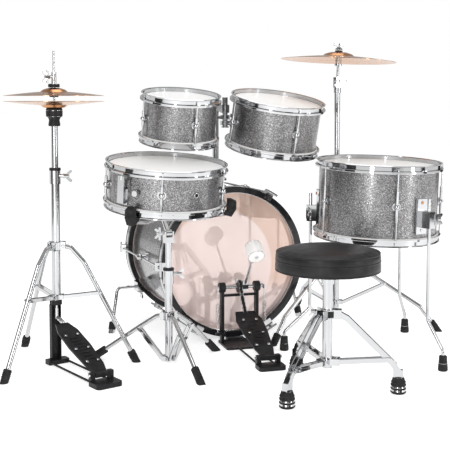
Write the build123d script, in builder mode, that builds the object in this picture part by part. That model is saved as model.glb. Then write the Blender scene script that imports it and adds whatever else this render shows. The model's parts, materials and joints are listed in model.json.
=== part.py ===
from build123d import *
import math
import os

os.makedirs("parts", exist_ok=True)

# ---------------------------------------------------------------------------
# Junior acoustic drum kit, millimetres, +Z up, floor at z = 0.
# +Y is the drummer's forward direction (bass drum batter to front head),
# +X is the drummer's right.  Plan positions are first written from the centre
# of the bass drum's batter rim and then moved so that the origin is the
# bottom centre of the whole kit's box.
# ---------------------------------------------------------------------------
OX, OY = -40.1, -130.7            # plan centre of the kit, from the bass drum rim

# bass drum
BASS_R = 203.0                    # shell outside radius (16 inch)
BASS_HOOP_R = 222.0
BASS_LEN = 385.0                  # hoop face to hoop face
BASS_Z = 230.0                    # axis height
HOOP_W = 38.0
BASS_ROD_R = 231.0                # tension rod circle
BASS_LUGS = [30 + 60 * i for i in range(6)]

# shell packs: (R shell, shell depth, rim centre, axis lean, lug angles, lug tube half length)
SNARE = dict(R=152.4, D=99.0, c=(-262, -172, 544), n=(0.0185, -0.112, 0.9935),
             lugs=[-111.6 + 72 * i for i in range(5)], half=23)
TOM1 = dict(R=102.0, D=114.0, c=(-179, -50, 723), n=(0.007, -0.175, 0.9845),
            lugs=[-85.0 + 90 * i for i in range(4)], half=21)
TOM2 = dict(R=127.0, D=127.0, c=(111, -65, 710), n=(0.054, -0.209, 0.9764),
            lugs=[-87.0 + 90 * i for i in range(4)], half=21)
FLOOR = dict(R=165.0, D=190.0, c=(329, -262, 538), n=(0.016, -0.037, 0.9992),
             lugs=[-103.6, -31.6, 53.5, 118.5, 184.4], half=42)

HEAD_IN = 13.0                    # rim top to head plane

# floor tom legs: (direction, rod circle, foot circle)
FLOOR_LEGS = dict(front=(-77.0, 190.0, 246.0), left=(158.0, 190.0, 262.0),
                  back=(39.5, 190.0, 243.0))

# stands
HAT = (-536.0, -57.0)             # hi-hat post
HAT_LEGS = [-140.0, 104.0, -19.0]
SNARE_POST = (-258.0, -170.0)
SNARE_LEGS = [-86.0, 24.0, 146.0]
CYM = (355.0, 34.0)               # cymbal stand post
CYM_LEGS = [-33.0, -153.0, 87.0]
THRONE = (26.0, -538.0)
THRONE_LEGS = [-30.0, -150.0, 90.0]
SEAT_R = 128.0
HAT_R = 131.0                     # hi-hat cymbal radius
CRASH_R = 175.0
CRASH_N = (0.045, 0.0, 0.999)    # crash cymbal axis

PEDAL_HEAD = (0.0, -40.0)         # kick pedal axle, plan
PEDAL_TURN = -5.4                 # kick pedal turned about z, degrees
HATPED_TURN = 15.3                # hi-hat pedal turned about z, degrees


# ------------------------------------------------------------------ helpers
def P(x, y, z):
    return Vector(x - OX, y - OY, z)


def cyl(a, b, r, ri=0.0):
    """Round bar or tube from a to b."""
    a, b = Vector(*a), Vector(*b)
    with BuildPart() as c:
        with BuildSketch(Plane(origin=a, z_dir=b - a)):
            Circle(r)
            if ri:
                Circle(ri, mode=Mode.SUBTRACT)
        extrude(amount=(b - a).length)
    return c.part


def bent(pts, r, bend):
    """Round bar along straight runs joined by arcs."""
    with BuildPart() as c:
        with BuildLine() as path:
            FilletPolyline(*pts, radius=bend)
        with BuildSketch(Plane(origin=path.line @ 0, z_dir=path.line % 0)):
            Circle(r)
        sweep()
    return c.part


def turned(pts):
    """Solid of revolution about Z from (radius, height) corners."""
    with BuildPart() as c:
        with BuildSketch(Plane.XZ):
            with BuildLine():
                Polyline(*pts, close=True)
            make_face()
        revolve(axis=Axis.Z)
    return c.part


def block(x0, x1, y0, y1, z0, z1, soft=0.0):
    """Box from its limits, with its upright edges rounded by soft."""
    with BuildPart() as c:
        with BuildSketch(Plane.XY.offset(z0)):
            with Locations(((x0 + x1) / 2, (y0 + y1) / 2)):
                if soft:
                    RectangleRounded(x1 - x0, y1 - y0, soft)
                else:
                    Rectangle(x1 - x0, y1 - y0)
        extrude(amount=z1 - z0)
    return c.part


def plate(pts, z0, z1):
    """Flat plate from a plan outline."""
    with BuildPart() as c:
        with BuildSketch(Plane.XY.offset(z0)):
            with BuildLine():
                Polyline(*pts, close=True)
            make_face()
        extrude(amount=z1 - z0)
    return c.part


def side_plate(pts, y0, y1):
    """Plate from an outline in (x, z), thick along y."""
    with BuildPart() as c:
        with BuildSketch(Plane.XZ.offset(-y0)):
            with BuildLine():
                Polyline(*pts, close=True)
            make_face()
        extrude(amount=-(y1 - y0))
    return c.part


def strap(pts, w, y0, y1):
    """Flat bar of width w whose middle line runs through pts in (x, z)."""
    with BuildPart() as c:
        with BuildSketch(Plane.XZ.offset(-y0)):
            with BuildLine():
                Polyline(*pts)
            trace(line_width=w)
        extrude(amount=-(y1 - y0))
    return c.part


def fuse(*parts):
    """One solid from overlapping pieces."""
    with BuildPart() as c:
        for p in parts:
            add(p)
    return c.part


def cut(body, *tools):
    with BuildPart() as c:
        add(body)
        for t in tools:
            add(t, mode=Mode.SUBTRACT)
    return c.part


def at(x, y, z=0.0, turn=0.0):
    """Place of a piece drawn about its own origin, turned about Z."""
    return Location(P(x, y, z), (0, 0, turn))


def drum_place(d):
    return Plane(origin=P(*d["c"]), x_dir=(1, 0, 0), z_dir=d["n"]).location


SPIN = lambda a: Location((0, 0, 0), (0, 0, a))


# ------------------------------------------------------------ shell packs
def shell_local(d, wall=6.0):
    R, D = d["R"], d["D"]
    zt, zb = -HEAD_IN, -HEAD_IN - D
    return turned([(R - wall + 4, zt), (R, zt - 3), (R, zb + 3), (R - wall + 4, zb),
                   (R - wall, zb + 4), (R - wall, zt - 4)])


def hoop_local(d, up=True):
    """Triple-flanged rim with its rod holes; z = 0 is the rim's lip."""
    R = d["R"]
    r0 = R + 3.2
    pts = [(r0, -16.0), (r0, -2.2), (r0 + 1.2, -0.6), (R + 8.4, 0.0), (R + 9.6, -0.8),
           (R + 9.4, -2.4), (r0 + 3.0, -2.6), (r0 + 1.8, -3.8), (r0 + 1.8, -14.2),
           (R + 11.0, -14.2), (R + 12.0, -15.4), (R + 12.0, -20.0), (R + 10.6, -20.0),
           (R + 10.6, -16.0)]
    with BuildPart() as h:
        add(turned(pts))
        with Locations(*[(math.cos(math.radians(a)) * (R + 8.0),
                          math.sin(math.radians(a)) * (R + 8.0), -15.0) for a in d["lugs"]]):
            Cylinder(2.55, 6.0, mode=Mode.SUBTRACT)
    if up:
        return h.part
    with BuildPart() as f:
        add(mirror(h.part, about=Plane.XY, mode=Mode.PRIVATE))
    return f.part


def head_local(d, up=True):
    """Drum head: film stretched over the edge, with its flesh hoop."""
    R = d["R"]
    s = 1 if up else -1
    pts = [(0, 0.05), (R - 0.5, 0.05), (R + 1.0, -1.5), (R + 1.0, -9.0), (R + 5.0, -9.0),
           (R + 5.0, -3.3), (R + 2.6, -3.3), (R + 2.2, -0.4), (R + 0.8, 0.9), (R - 1.0, 0.75),
           (0, 0.75)]
    return turned([(r, s * z) for r, z in pts])


def lug_local(d):
    """Round centre lug with its two-ended tube, drawn at angle 0, z = 0 mid."""
    R, h = d["R"], d["half"]
    with BuildPart() as g:
        with BuildSketch(Plane.YZ.offset(R + 0.2)):
            Circle(11.5)
        extrude(amount=3.8)
        with Locations((R + 8.0, 0, 0)):
            Sphere(7.7)
            Cylinder(4.1, 2 * h)
            Cylinder(2.5, 2 * h - 24, mode=Mode.SUBTRACT)
        with Locations((R + 8.0, 0, h - 5), (R + 8.0, 0, -h + 5)):
            Cylinder(2.5, 10.2, mode=Mode.SUBTRACT)
    return g.part


def rod_local(d, up=True):
    """Tension rod with washer and square head, drawn at angle 0, z = 0 mid."""
    R, h = d["R"], d["half"]
    top = (d["D"] + 2 * HEAD_IN) / 2 - 14.0      # top of the rim's lower flange
    s = 1 if up else -1
    with BuildPart() as g:
        add(cyl((R + 8.0, 0, s * (h - 9.5)), (R + 8.0, 0, s * (top + 1.0)), 2.3))
        add(cyl((R + 8.0, 0, s * (top - 0.1)), (R + 8.0, 0, s * (top + 2.4)), 3.0))
        with BuildSketch(Plane.XY.offset(s * (top + 2.4) if s > 0 else -(top + 8.4))):
            with Locations((R + 8.0, 0)):
                Rectangle(4.2, 4.2)
        extrude(amount=6.0)
    return g.part


def pack_parts(d):
    H = d["D"] + 2 * HEAD_IN
    loc = drum_place(d)
    low = loc * Location((0, 0, -H))
    mid = loc * Location((0, 0, -H / 2))
    return loc, low, mid, H


def make_drum(d):
    """Shell, rims, heads and lugs of a drum standing on its axis."""
    loc, low, mid, H = pack_parts(d)
    sh, ht, hb = shell_local(d), hoop_local(d, True), hoop_local(d, False)
    dt, db = head_local(d, True), head_local(d, False)
    lg, ru, rd = lug_local(d), rod_local(d, True), rod_local(d, False)
    spots = [mid * SPIN(a) for a in d["lugs"]]
    return dict(
        shell=[sh.moved(loc)],
        hoops=[ht.moved(loc), hb.moved(low)],
        heads=[dt.moved(loc * Location((0, 0, -HEAD_IN))),
               db.moved(low * Location((0, 0, HEAD_IN)))],
        lugs=[p.moved(s) for s in spots for p in (lg, ru, rd)])


snare_set = make_drum(SNARE)
tom1_set = make_drum(TOM1)
tom2_set = make_drum(TOM2)
floor_set = make_drum(FLOOR)

# ------------------------------------------------------------ tom holder
POST = (0.0, 150.0)               # tom post, plan
HEADP = (2.0, 78.0)               # upright of the tom holder's head, plan
ARM1_Z, ARM2_Z = 653.0, 636.0
TOM1_MID = (-179.5, -37.7, ARM1_Z)
TOM2_MID = (106.9, -49.3, ARM2_Z)


def unit(a, b):
    d = math.hypot(b[0] - a[0], b[1] - a[1])
    return ((b[0] - a[0]) / d, (b[1] - a[1]) / d, d)


def tom_mount(mid, z, R, d_axis, reach):
    """Bracket on a tom's shell that grips the arm, with its wing bolt, and the arm."""
    ux, uy, d = unit(mid, HEADP)
    ang = math.degrees(math.atan2(uy, ux))
    # drawn along +X from the tom's axis
    base = block(R - 8, R + 5.0, -19, 19, -24, 24, 0)
    eye = block(R + 4.5, R + reach, -9.5, 9.5, -11, 11, 0)
    bracket = cut(fuse(base, eye), cyl((R + 7, 0, 0), (R + 30, 0, 0), 5.06))
    bolt = fuse(cyl((R + 12, 0, 11.2), (R + 12, 0, 17), 3.2),
                block(R + 10.4, R + 13.6, -12, 12, 17, 28, 0))
    arm = cyl((R + 9, 0, 0), (d - 12.0, 0, 0), 5.0)
    ring = cyl((d, 0, -6.5), (d, 0, 6.5), 15.0, 8.56)
    place = Location(P(mid[0], mid[1], z), (0, 0, ang))
    c0, nn = P(*d_axis["c"]), Vector(*d_axis["n"]).normalized()
    shell_space = cyl(c0 + nn * 20, c0 - nn * 200, R + 0.3)
    return (cut(bracket.moved(place), shell_space), bolt.moved(place),
            fuse(arm, ring).moved(place))


br1, bolt1, arm1 = tom_mount(TOM1_MID, ARM1_Z, TOM1["R"], TOM1, 26.0)
br2, bolt2, arm2 = tom_mount(TOM2_MID, ARM2_Z, TOM2["R"], TOM2, 17.0)

with BuildPart() as small_tom_shell:
    add(tom1_set["shell"])
with BuildPart() as small_tom_hoops:
    add(tom1_set["hoops"])
with BuildPart() as small_tom_heads:
    add(tom1_set["heads"])
with BuildPart() as small_tom_lugs:
    add(tom1_set["lugs"])
    add([br1, bolt1])
with BuildPart() as mid_tom_shell:
    add(tom2_set["shell"])
with BuildPart() as mid_tom_hoops:
    add(tom2_set["hoops"])
with BuildPart() as mid_tom_heads:
    add(tom2_set["heads"])
with BuildPart() as mid_tom_lugs:
    add(tom2_set["lugs"])
    add([br2, bolt2])
with BuildPart() as tom_arm_left:
    add(arm1)
with BuildPart() as tom_arm_right:
    add(arm2)

with BuildPart() as tom_post:
    add(cyl(P(POST[0], POST[1], 368), P(POST[0], POST[1], 700), 10.0))
    add(cyl(P(HEADP[0], HEADP[1], 622), P(HEADP[0], HEADP[1], 712), 8.5))
    with BuildSketch(Plane(origin=P(POST[0], POST[1], 668), z_dir=(0, 0, 1))):
        Circle(15.5)
    extrude(amount=20)
    add(block(HEADP[0] - 7 - OX, HEADP[0] + 6 - OX, HEADP[1] - OY, POST[1] - OY, 670, 686))
    add(cyl(P(HEADP[0], HEADP[1], 666), P(HEADP[0], HEADP[1], 690), 13.5))
    add(cyl(P(HEADP[0], HEADP[1], 622), P(HEADP[0], HEADP[1], 626), 12.0))

# ------------------------------------------------------------ floor tom
FZ = (368.0, 412.0)               # leg bracket, bottom and top


def floor_leg(key):
    a, rr, rf = FLOOR_LEGS[key]
    # drawn along +X
    rod = bent([(rr, 0, 446), (rr, 0, 122), (rf, 0, 52), (rf, 0, 8)], 4.75, 22)
    foot = cut(turned([(0, 0), (11.0, 0), (12.5, 3), (10.0, 38), (8.0, 40), (0, 40)])
               .moved(Location((rf, 0, 0))), cyl((rf, 0, 7.9), (rf, 0, 60), 4.8))
    R = FLOOR["R"]
    # the plate lies along the leaning shell, the eye stands upright
    sh = (-2.2 * math.cos(math.radians(a)) + 5.1 * math.sin(math.radians(a)))
    base = block(R + 0.35, R + 6.0, -19, 19, -182, -88, 0).moved(drum_place(FLOOR) * SPIN(a))
    eye = cut(fuse(block(R + 3.0 + sh, rr + 12, -10.5, 10.5, FZ[0], FZ[1], 0),
                   block(rr - 2, rr + 14, 9, 16, FZ[0] + 8, FZ[1] - 8, 0)),
              cyl((rr, 0, FZ[0] - 5), (rr, 0, FZ[1] + 5), 4.81))
    wing = fuse(cyl((rr + 4, 16.2, FZ[0] + 22), (rr + 4, 27, FZ[0] + 22), 3.0),
                block(rr + 2.4, rr + 5.6, 26, 38, FZ[0] + 8, FZ[0] + 36, 0))
    place = at(FLOOR["c"][0], FLOOR["c"][1], 0, a)
    return [rod.moved(place), foot.moved(place), fuse(base, eye.moved(place)),
            wing.moved(place)]


fl = {k: floor_leg(k) for k in FLOOR_LEGS}

with BuildPart() as floor_tom_shell:
    add(floor_set["shell"])
with BuildPart() as floor_tom_hoops:
    add(floor_set["hoops"])
with BuildPart() as floor_tom_heads:
    add(floor_set["heads"])
with BuildPart() as floor_tom_lugs:
    add(floor_set["lugs"])
    for k in fl:
        add(fl[k][2:])
with BuildPart() as floor_leg_front:
    add(fl["front"][:2])
with BuildPart() as floor_leg_left:
    add(fl["left"][:2])
with BuildPart() as floor_leg_back:
    add(fl["back"][:2])

# ------------------------------------------------------------ bass drum
BASS = Plane(origin=P(0, 0, BASS_Z), x_dir=(1, 0, 0), z_dir=(0, 1, 0)).location
# local z runs from the batter rim to the front rim; local y points down
BD = BASS_LEN


def bass_ring(lo):
    """Wooden hoop, drawn from its outer face inwards."""
    return turned([(204.7, 0.8), (206.0, 0), (220.5, 0), (222.0, 1.5), (222.0, 36.5),
                   (220.5, 38.0), (207.4, 38.0), (207.4, 24.9), (204.7, 24.9)])


def bass_head():
    return turned([(0, 25.2), (205.0, 25.2), (206.9, 26.4), (206.9, 34.0), (204.2, 34.0),
                   (204.2, 26.6), (202.4, 25.95), (0, 25.95)])


FLIP = Plane(origin=P(0, BD, BASS_Z), x_dir=(1, 0, 0), z_dir=(0, -1, 0)).location

with BuildPart() as bass_shell:
    add(turned([(197.5, 26.0), (202.0, 26.0), (203.0, 29.0), (203.0, BD - 29.0),
                (202.0, BD - 26.0), (197.5, BD - 26.0), (195.5, BD - 32), (195.5, 32.0)])
        .moved(BASS))
    with Locations(P(POST[0], POST[1], 430)):
        Cylinder(16.0, 40, mode=Mode.SUBTRACT)

with BuildPart() as bass_hoops:
    add(bass_ring(0).moved(BASS))
    add(bass_ring(0).moved(FLIP))

with BuildPart() as bass_heads:
    add(bass_head().moved(BASS))
    add(bass_head().moved(FLIP))


def bass_lug():
    """Centre lug, drawn along +X with the rods along Z."""
    with BuildPart() as g:
        with BuildSketch(Plane.YZ.offset(BASS_R + 0.3)):
            Circle(13)
        extrude(amount=5)
        add(cyl((BASS_R + 4, 0, 0), (BASS_ROD_R, 0, 0), 6.5))
        with Locations((BASS_ROD_R, 0, 0)):
            Sphere(9.5)
            Cylinder(5.2, 56)
            Cylinder(3.1, 58, mode=Mode.SUBTRACT)
    return g.part


def bass_claw():
    """Claw over a hoop, drawn along +X, its face at z = 0."""
    body = side_plate([(208, -3.4), (226, -3.4), (237, 4.5), (237, 17), (225.4, 21.5),
                       (225.4, 24.5), (222.3, 24.5), (222.3, -0.25), (208, -0.25)], -12, 12)
    return cut(body, cyl((BASS_ROD_R, 0, -8), (BASS_ROD_R, 0, 24), 3.4))


def bass_rod():
    return fuse(cyl((BASS_ROD_R, 0, -16), (BASS_ROD_R, 0, BD / 2 - 6), 3.0),
                cyl((BASS_ROD_R, 0, -2.2), (BASS_ROD_R, 0, -6.2), 5.2),
                cyl((BASS_ROD_R, -17, -16), (BASS_ROD_R, 17, -16), 3.6))


bl, bc, bt = bass_lug(), bass_claw(), bass_rod()
ring_angles = [a - 90 for a in BASS_LUGS]
with BuildPart() as bass_lugs:
    add([bl.moved(BASS * Location((0, 0, BD / 2)) * SPIN(a)) for a in ring_angles])
with BuildPart() as bass_tension_rods:
    add([p.moved(BASS * SPIN(a)) for a in ring_angles for p in (bc, bt)])
    add([p.moved(FLIP * SPIN(a)) for a in ring_angles for p in (bc, bt)])

# post base and spur brackets on the shell
SPUR_Y, SPUR_Z = 232.0, 132.0
SPUR_IN, SPUR_OUT = 190.0, 290.0
SPUR_FOOT = (313.0, 213.0)
with BuildPart() as bass_brackets:
    with BuildSketch(Plane(origin=P(POST[0], POST[1], 433.3), z_dir=(0, 0, 1))):
        RectangleRounded(52, 66, 8)
    extrude(amount=6)
    add(cyl(P(POST[0], POST[1], 439), P(POST[0], POST[1], 480), 17.0))
    add(cyl(P(POST[0] + 14, POST[1], 462), P(POST[0] + 34, POST[1], 462), 5.0))
    add(cyl(P(POST[0], POST[1], 425), P(POST[0], POST[1], 485), 10.05), mode=Mode.SUBTRACT)
    for s in (-1, 1):
        # block under the shell's side, bored along X for the spur
        with BuildSketch(Plane.XZ.offset(-(SPUR_Y - 20 - OY))):
            with BuildLine():
                Polyline((s * 183 - OX, 154), (s * 206 - OX, 154), (s * 232 - OX, 147),
                         (s * 232 - OX, 117), (s * 190 - OX, 117), (s * 172.5 - OX, 120.5),
                         close=True)
            make_face()
        extrude(amount=-40)
        add(cyl(P(s * 150, SPUR_Y, SPUR_Z), P(s * 260, SPUR_Y, SPUR_Z), 5.06),
            mode=Mode.SUBTRACT)
        add(cyl(P(s * 214, SPUR_Y, 108), P(s * 214, SPUR_Y, 117.2), 3.5))
        add(block(s * 214 - 2 - OX, s * 214 + 2 - OX, SPUR_Y - 14 - OY, SPUR_Y + 14 - OY,
                  96, 109))
    add(cyl(P(0, 0, BASS_Z) + Vector(0, 150, 0), P(0, 0, BASS_Z) + Vector(0, 300, 0), 203.4),
        mode=Mode.SUBTRACT)
    with Locations(P(POST[0], POST[1], 436)):
        Cylinder(10.05, 30, mode=Mode.SUBTRACT)


def spur(s):
    arm = bent([P(s * SPUR_IN, SPUR_Y, SPUR_Z), P(s * SPUR_OUT, SPUR_Y, SPUR_Z),
                P(s * SPUR_FOOT[0], SPUR_FOOT[1], 12)], 5.0, 16)
    tip = cyl(P(s * SPUR_FOOT[0], SPUR_FOOT[1], 11.9) +
              (P(s * SPUR_OUT, SPUR_Y, SPUR_Z) - P(s * SPUR_FOOT[0], SPUR_FOOT[1], 12)) * 0.17,
              P(s * SPUR_FOOT[0], SPUR_FOOT[1], 12) -
              (P(s * SPUR_OUT, SPUR_Y, SPUR_Z) - P(s * SPUR_FOOT[0], SPUR_FOOT[1], 12)) * 0.2,
              10.5)
    with BuildPart() as t:
        add(tip)
        split(bisect_by=Plane.XY, keep=Keep.TOP)
        add(bent([P(s * SPUR_IN, SPUR_Y, SPUR_Z), P(s * SPUR_OUT, SPUR_Y, SPUR_Z),
                  P(s * SPUR_FOOT[0], SPUR_FOOT[1], 11.8)], 5.08, 16), mode=Mode.SUBTRACT)
    return arm, t.part


with BuildPart() as spur_left:
    add(list(spur(-1)))
with BuildPart() as spur_right:
    add(list(spur(1)))


# ------------------------------------------------------------ tripod pieces
def leg_and_foot(place, pts, r, foot_len=26.0, foot_r=10.5):
    """Leg in the plane y = 0 ending in a rubber foot cut flat at the floor."""
    (x1, z1), (x2, z2) = pts[-2], pts[-1]
    d = math.hypot(x2 - x1, z2 - z1)
    ux, uz = (x2 - x1) / d, (z2 - z1) / d
    leg = bent([(x, 0, z) for x, z in pts], r, 9)
    a = (x2 - ux * foot_len * 0.55, 0, z2 - uz * foot_len * 0.55)
    b = (x2 + ux * 40, 0, z2 + uz * 40)
    with BuildPart() as f:
        add(cyl(a, b, foot_r))
        split(bisect_by=Plane.XY, keep=Keep.TOP)
        add(cyl(a, (x2, 0, z2), r + 0.02), mode=Mode.SUBTRACT)
    return leg.moved(place), f.part.moved(place)


def strip_between(place, a, b, w, off, t):
    """Flat brace beside a leg, with a rounded pivot at each end."""
    (x1, z1), (x2, z2) = a, b
    s = strap([(x1, z1), (x2, z2)], w, off, off + t)
    e1 = cyl((x1, off, z1), (x1, off + t, z1), w / 2)
    e2 = cyl((x2, off, z2), (x2, off + t, z2), w / 2)
    return fuse(s, e1, e2).moved(place)


def collar_with_ears(x, y, z, r_tube, r_out, h, angles, ear=22.0, gap=7.2):
    """Ring on a tube with a forked ear for each leg."""
    pieces = [cyl((0, 0, -h / 2), (0, 0, h / 2), r_out)]
    start = math.sqrt(max(9.0, r_out ** 2 - (gap + 2.7) ** 2)) - 2.0
    for a in angles:
        for s in (-1, 1):
            e = block(start, ear, s * (gap + 1.4) - 1.3, s * (gap + 1.4) + 1.3, -h / 2, h / 2)
            pieces.append(e.moved(SPIN(a)))
    ring = cut(fuse(*pieces), cyl((0, 0, -h), (0, 0, h), r_tube))
    return ring.moved(at(x, y, z))


legs, feet, tubes = [], [], []

# hi-hat tripod
for a in HAT_LEGS:
    pl = at(HAT[0], HAT[1], 0, a)
    lg, ft = leg_and_foot(pl, [(19.5, 317.5), (40, 312), (73, 274), (203, 18)], 6.4)
    legs += [lg, strip_between(pl, (21, 180), (116, 190), 9, 6.6, 2.4),
             strip_between(pl, (21, 180), (116, 190), 9, -9.0, 2.4)]
    feet.append(ft)
hat_tube = cut(fuse(cyl(P(HAT[0], HAT[1], 160), P(HAT[0], HAT[1], 500), 11.5),
                    cyl(P(HAT[0], HAT[1], 483), P(HAT[0], HAT[1], 524), 14.5),
                    cyl(P(HAT[0] + 10, HAT[1] - 6, 504), P(HAT[0] + 27, HAT[1] - 15, 504), 5.0)),
               cyl(P(HAT[0], HAT[1], 240), P(HAT[0], HAT[1], 530), 9.06),
               cyl(P(HAT[0], HAT[1], 150), P(HAT[0], HAT[1], 241), 7.5))
tubes.append(hat_tube)
hat_collar = collar_with_ears(HAT[0], HAT[1], 317, 11.55, 16.5, 24, HAT_LEGS, 25)
hat_hub = collar_with_ears(HAT[0], HAT[1], 180, 11.55, 15.5, 12, HAT_LEGS, 20, 10.2)
tubes += [hat_collar, hat_hub]

# snare stand tripod
for a in SNARE_LEGS:
    pl = at(SNARE_POST[0], SNARE_POST[1], 0, a)
    rf = {-86.0: 216.0, 24.0: 190.0, 146.0: 222.0}[a]
    lg, ft = leg_and_foot(pl, [(18, 130), (34, 126.5), (76, 99), (rf - 30, 19)], 6.0, 30)
    legs += [lg, strip_between(pl, (19.5, 14), (82, 92), 9, 6.2, 2.2),
             strip_between(pl, (19.5, 14), (82, 92), 9, -8.4, 2.2)]
    feet.append(ft)
sn_tube = cut(fuse(cyl(P(*SNARE_POST, 8), P(*SNARE_POST, 230), 10.2),
                   cyl(P(*SNARE_POST, 216), P(*SNARE_POST, 257), 14.0),
                   cyl(P(SNARE_POST[0] + 11, SNARE_POST[1] - 4, 243),
                       P(SNARE_POST[0] + 27, SNARE_POST[1] - 10, 243), 4.5)),
              cyl(P(*SNARE_POST, 28), P(*SNARE_POST, 262), 8.06))
tubes += [sn_tube,
          collar_with_ears(SNARE_POST[0], SNARE_POST[1], 129, 10.25, 15, 22, SNARE_LEGS, 23, 6.8),
          collar_with_ears(SNARE_POST[0], SNARE_POST[1], 14, 10.25, 14, 12, SNARE_LEGS, 18, 9.4)]

# cymbal stand tripod
for a in CYM_LEGS:
    pl = at(CYM[0], CYM[1], 0, a)
    lg, ft = leg_and_foot(pl, [(19, 216), (38, 211), (257, 74), (299, 18)], 6.4)
    legs += [lg, strip_between(pl, (20.5, 77), (150, 141), 9, 6.6, 2.4),
             strip_between(pl, (20.5, 77), (150, 141), 9, -9.0, 2.4)]
    feet.append(ft)
cy_tube = cut(fuse(cyl(P(*CYM, 56), P(*CYM, 430), 10.5),
                   cyl(P(*CYM, 412), P(*CYM, 452), 14.0),
                   cyl(P(CYM[0] + 11, CYM[1] - 4, 438), P(CYM[0] + 27, CYM[1] - 10, 438), 4.5)),
              cyl(P(*CYM, 90), P(*CYM, 460), 8.56))
tubes += [cy_tube,
          collar_with_ears(CYM[0], CYM[1], 215, 10.55, 15.5, 24, CYM_LEGS, 25),
          collar_with_ears(CYM[0], CYM[1], 78, 10.55, 14.5, 12, CYM_LEGS, 20, 10.2)]

# ------------------------------------------------------------ hi-hat
HP = at(HAT[0], HAT[1], 0, HATPED_TURN)     # pedal drawn towards -Y
with BuildPart() as hf:
    add(block(-30, 30, -16, 14.5, 0, 11.8, 5))
    add(block(-12.6, 12.6, 12.2, 15.6, 5, 172))
    for s in (-1, 1):
        add(block(s * 13.0 - 1.2, s * 13.0 + 1.2, 2, 15.6, 5, 158))
        add(cyl((s * 24, -10, 6), (s * 24, -236, 6), 3.0))
    with BuildSketch(Plane.XY):
        with Locations((0, -258)):
            RectangleRounded(72, 54, 10)
    extrude(amount=12)
    for s in (-1, 1):
        add(block(s * 26 - 6, s * 26 + 6, -244, -230, 11, 32))
    add(cyl((-40, -237, 25), (40, -237, 25), 3.06), mode=Mode.SUBTRACT)
with BuildPart() as hihat_frame:
    add(hf.part.moved(HP))

# footboard: heel eye at (y -237, z 25), toe at (y -42, z 104)
FB_A = math.degrees(math.atan2(104 - 27, 237 - 44))
with BuildPart() as hfb:
    with BuildSketch(Plane(origin=(0, -237, 25), x_dir=(1, 0, 0),
                           z_dir=(0, -math.sin(math.radians(FB_A)),
                                  math.cos(math.radians(FB_A))))):
        with BuildLine():
            Polyline((-17, 4), (17, 4), (25, 34), (31, 120), (29, 190), (18, 226), (-18, 226),
                     (-29, 190), (-31, 120), (-25, 34), close=True)
        make_face()
    extrude(amount=5)
    add(block(-18.5, 18.5, -245, -229, 19, 31))
    add(cyl((-33, -237, 25), (33, -237, 25), 3.0))
with BuildPart() as hihat_footboard:
    add(hfb.part.moved(HP))

# pull rod, linkage and clutch
CH = (HAT[0], HAT[1])
hr = [cyl(P(*CH, 150), P(*CH, 834), 3.0)]
link = fuse(cyl((0, 0, 121), (0, 0, 149.8), 4.6),
            cyl((0, 1.0, 128), (0, -31, 120.5), 2.4)).moved(HP)
with BuildPart() as clutch:
    add(cyl(P(*CH, 747.5), P(*CH, 778), 6.5))
    add(cyl(P(*CH, 737.6), P(*CH, 747.6), 14.0))
    add(cyl(P(*CH, 722), P(*CH, 738), 5.0))
    add(cyl(P(*CH, 712.5), P(*CH, 724), 10.0))
    add(cyl(P(CH[0] - 6, CH[1] - 3, 766), P(CH[0] - 19, CH[1] - 9, 766), 3.2))
    add(cyl(P(CH[0] - 19, CH[1] - 9, 750), P(CH[0] - 19, CH[1] - 9, 782), 3.0))
    add(cyl(P(*CH, 700), P(*CH, 790), 3.02), mode=Mode.SUBTRACT)
with BuildPart() as hihat_rod:
    add([hr[0], link, clutch.part])


def cymbal(R, rise, bell_r, bell_h, t, hole, up=True):
    """Thin bowed disc with a bell; z = 0 is the rim."""
    s = 1 if up else -1
    n = 7
    outer = []
    for i in range(n + 1):
        r = R - (R - bell_r) * i / n
        outer.append((r, rise * (1 - ((r - bell_r) / (R - bell_r)) ** 1.25)))
    outer += [(bell_r * 0.82, rise + bell_h * 0.5), (bell_r * 0.5, rise + bell_h * 0.86),
              (hole, rise + bell_h)]
    inner = [(r, z - t) for r, z in outer]
    inner[0] = (R, -t * 0.6)
    pts = outer + inner[::-1]
    return turned([(r, s * z) for r, z in pts])


hat_top = cymbal(HAT_R, 10.0, 36.0, 11.0, 1.2, 5.6).moved(at(*HAT, 716.4))
hat_low = cymbal(HAT_R, 10.0, 36.0, 11.0, 1.2, 11.2, False).moved(at(*HAT, 701.0))
with BuildPart() as hihat_top_cymbal:
    add(hat_top)
with BuildPart() as hihat_bottom_cymbal:
    add(hat_low)
with BuildPart() as hihat_riser:
    add(cyl(P(*HAT, 352), P(*HAT, 640), 9.0))
    add(cyl(P(*HAT, 636), P(*HAT, 662), 11.5))
    add(cyl(P(*HAT, 661), P(*HAT, 679), 21.0))
    add(cyl(P(*HAT, 678), P(*HAT, 694), 10.8))
    add(cyl(P(*HAT, 340), P(*HAT, 700), 5.2), mode=Mode.SUBTRACT)

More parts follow.
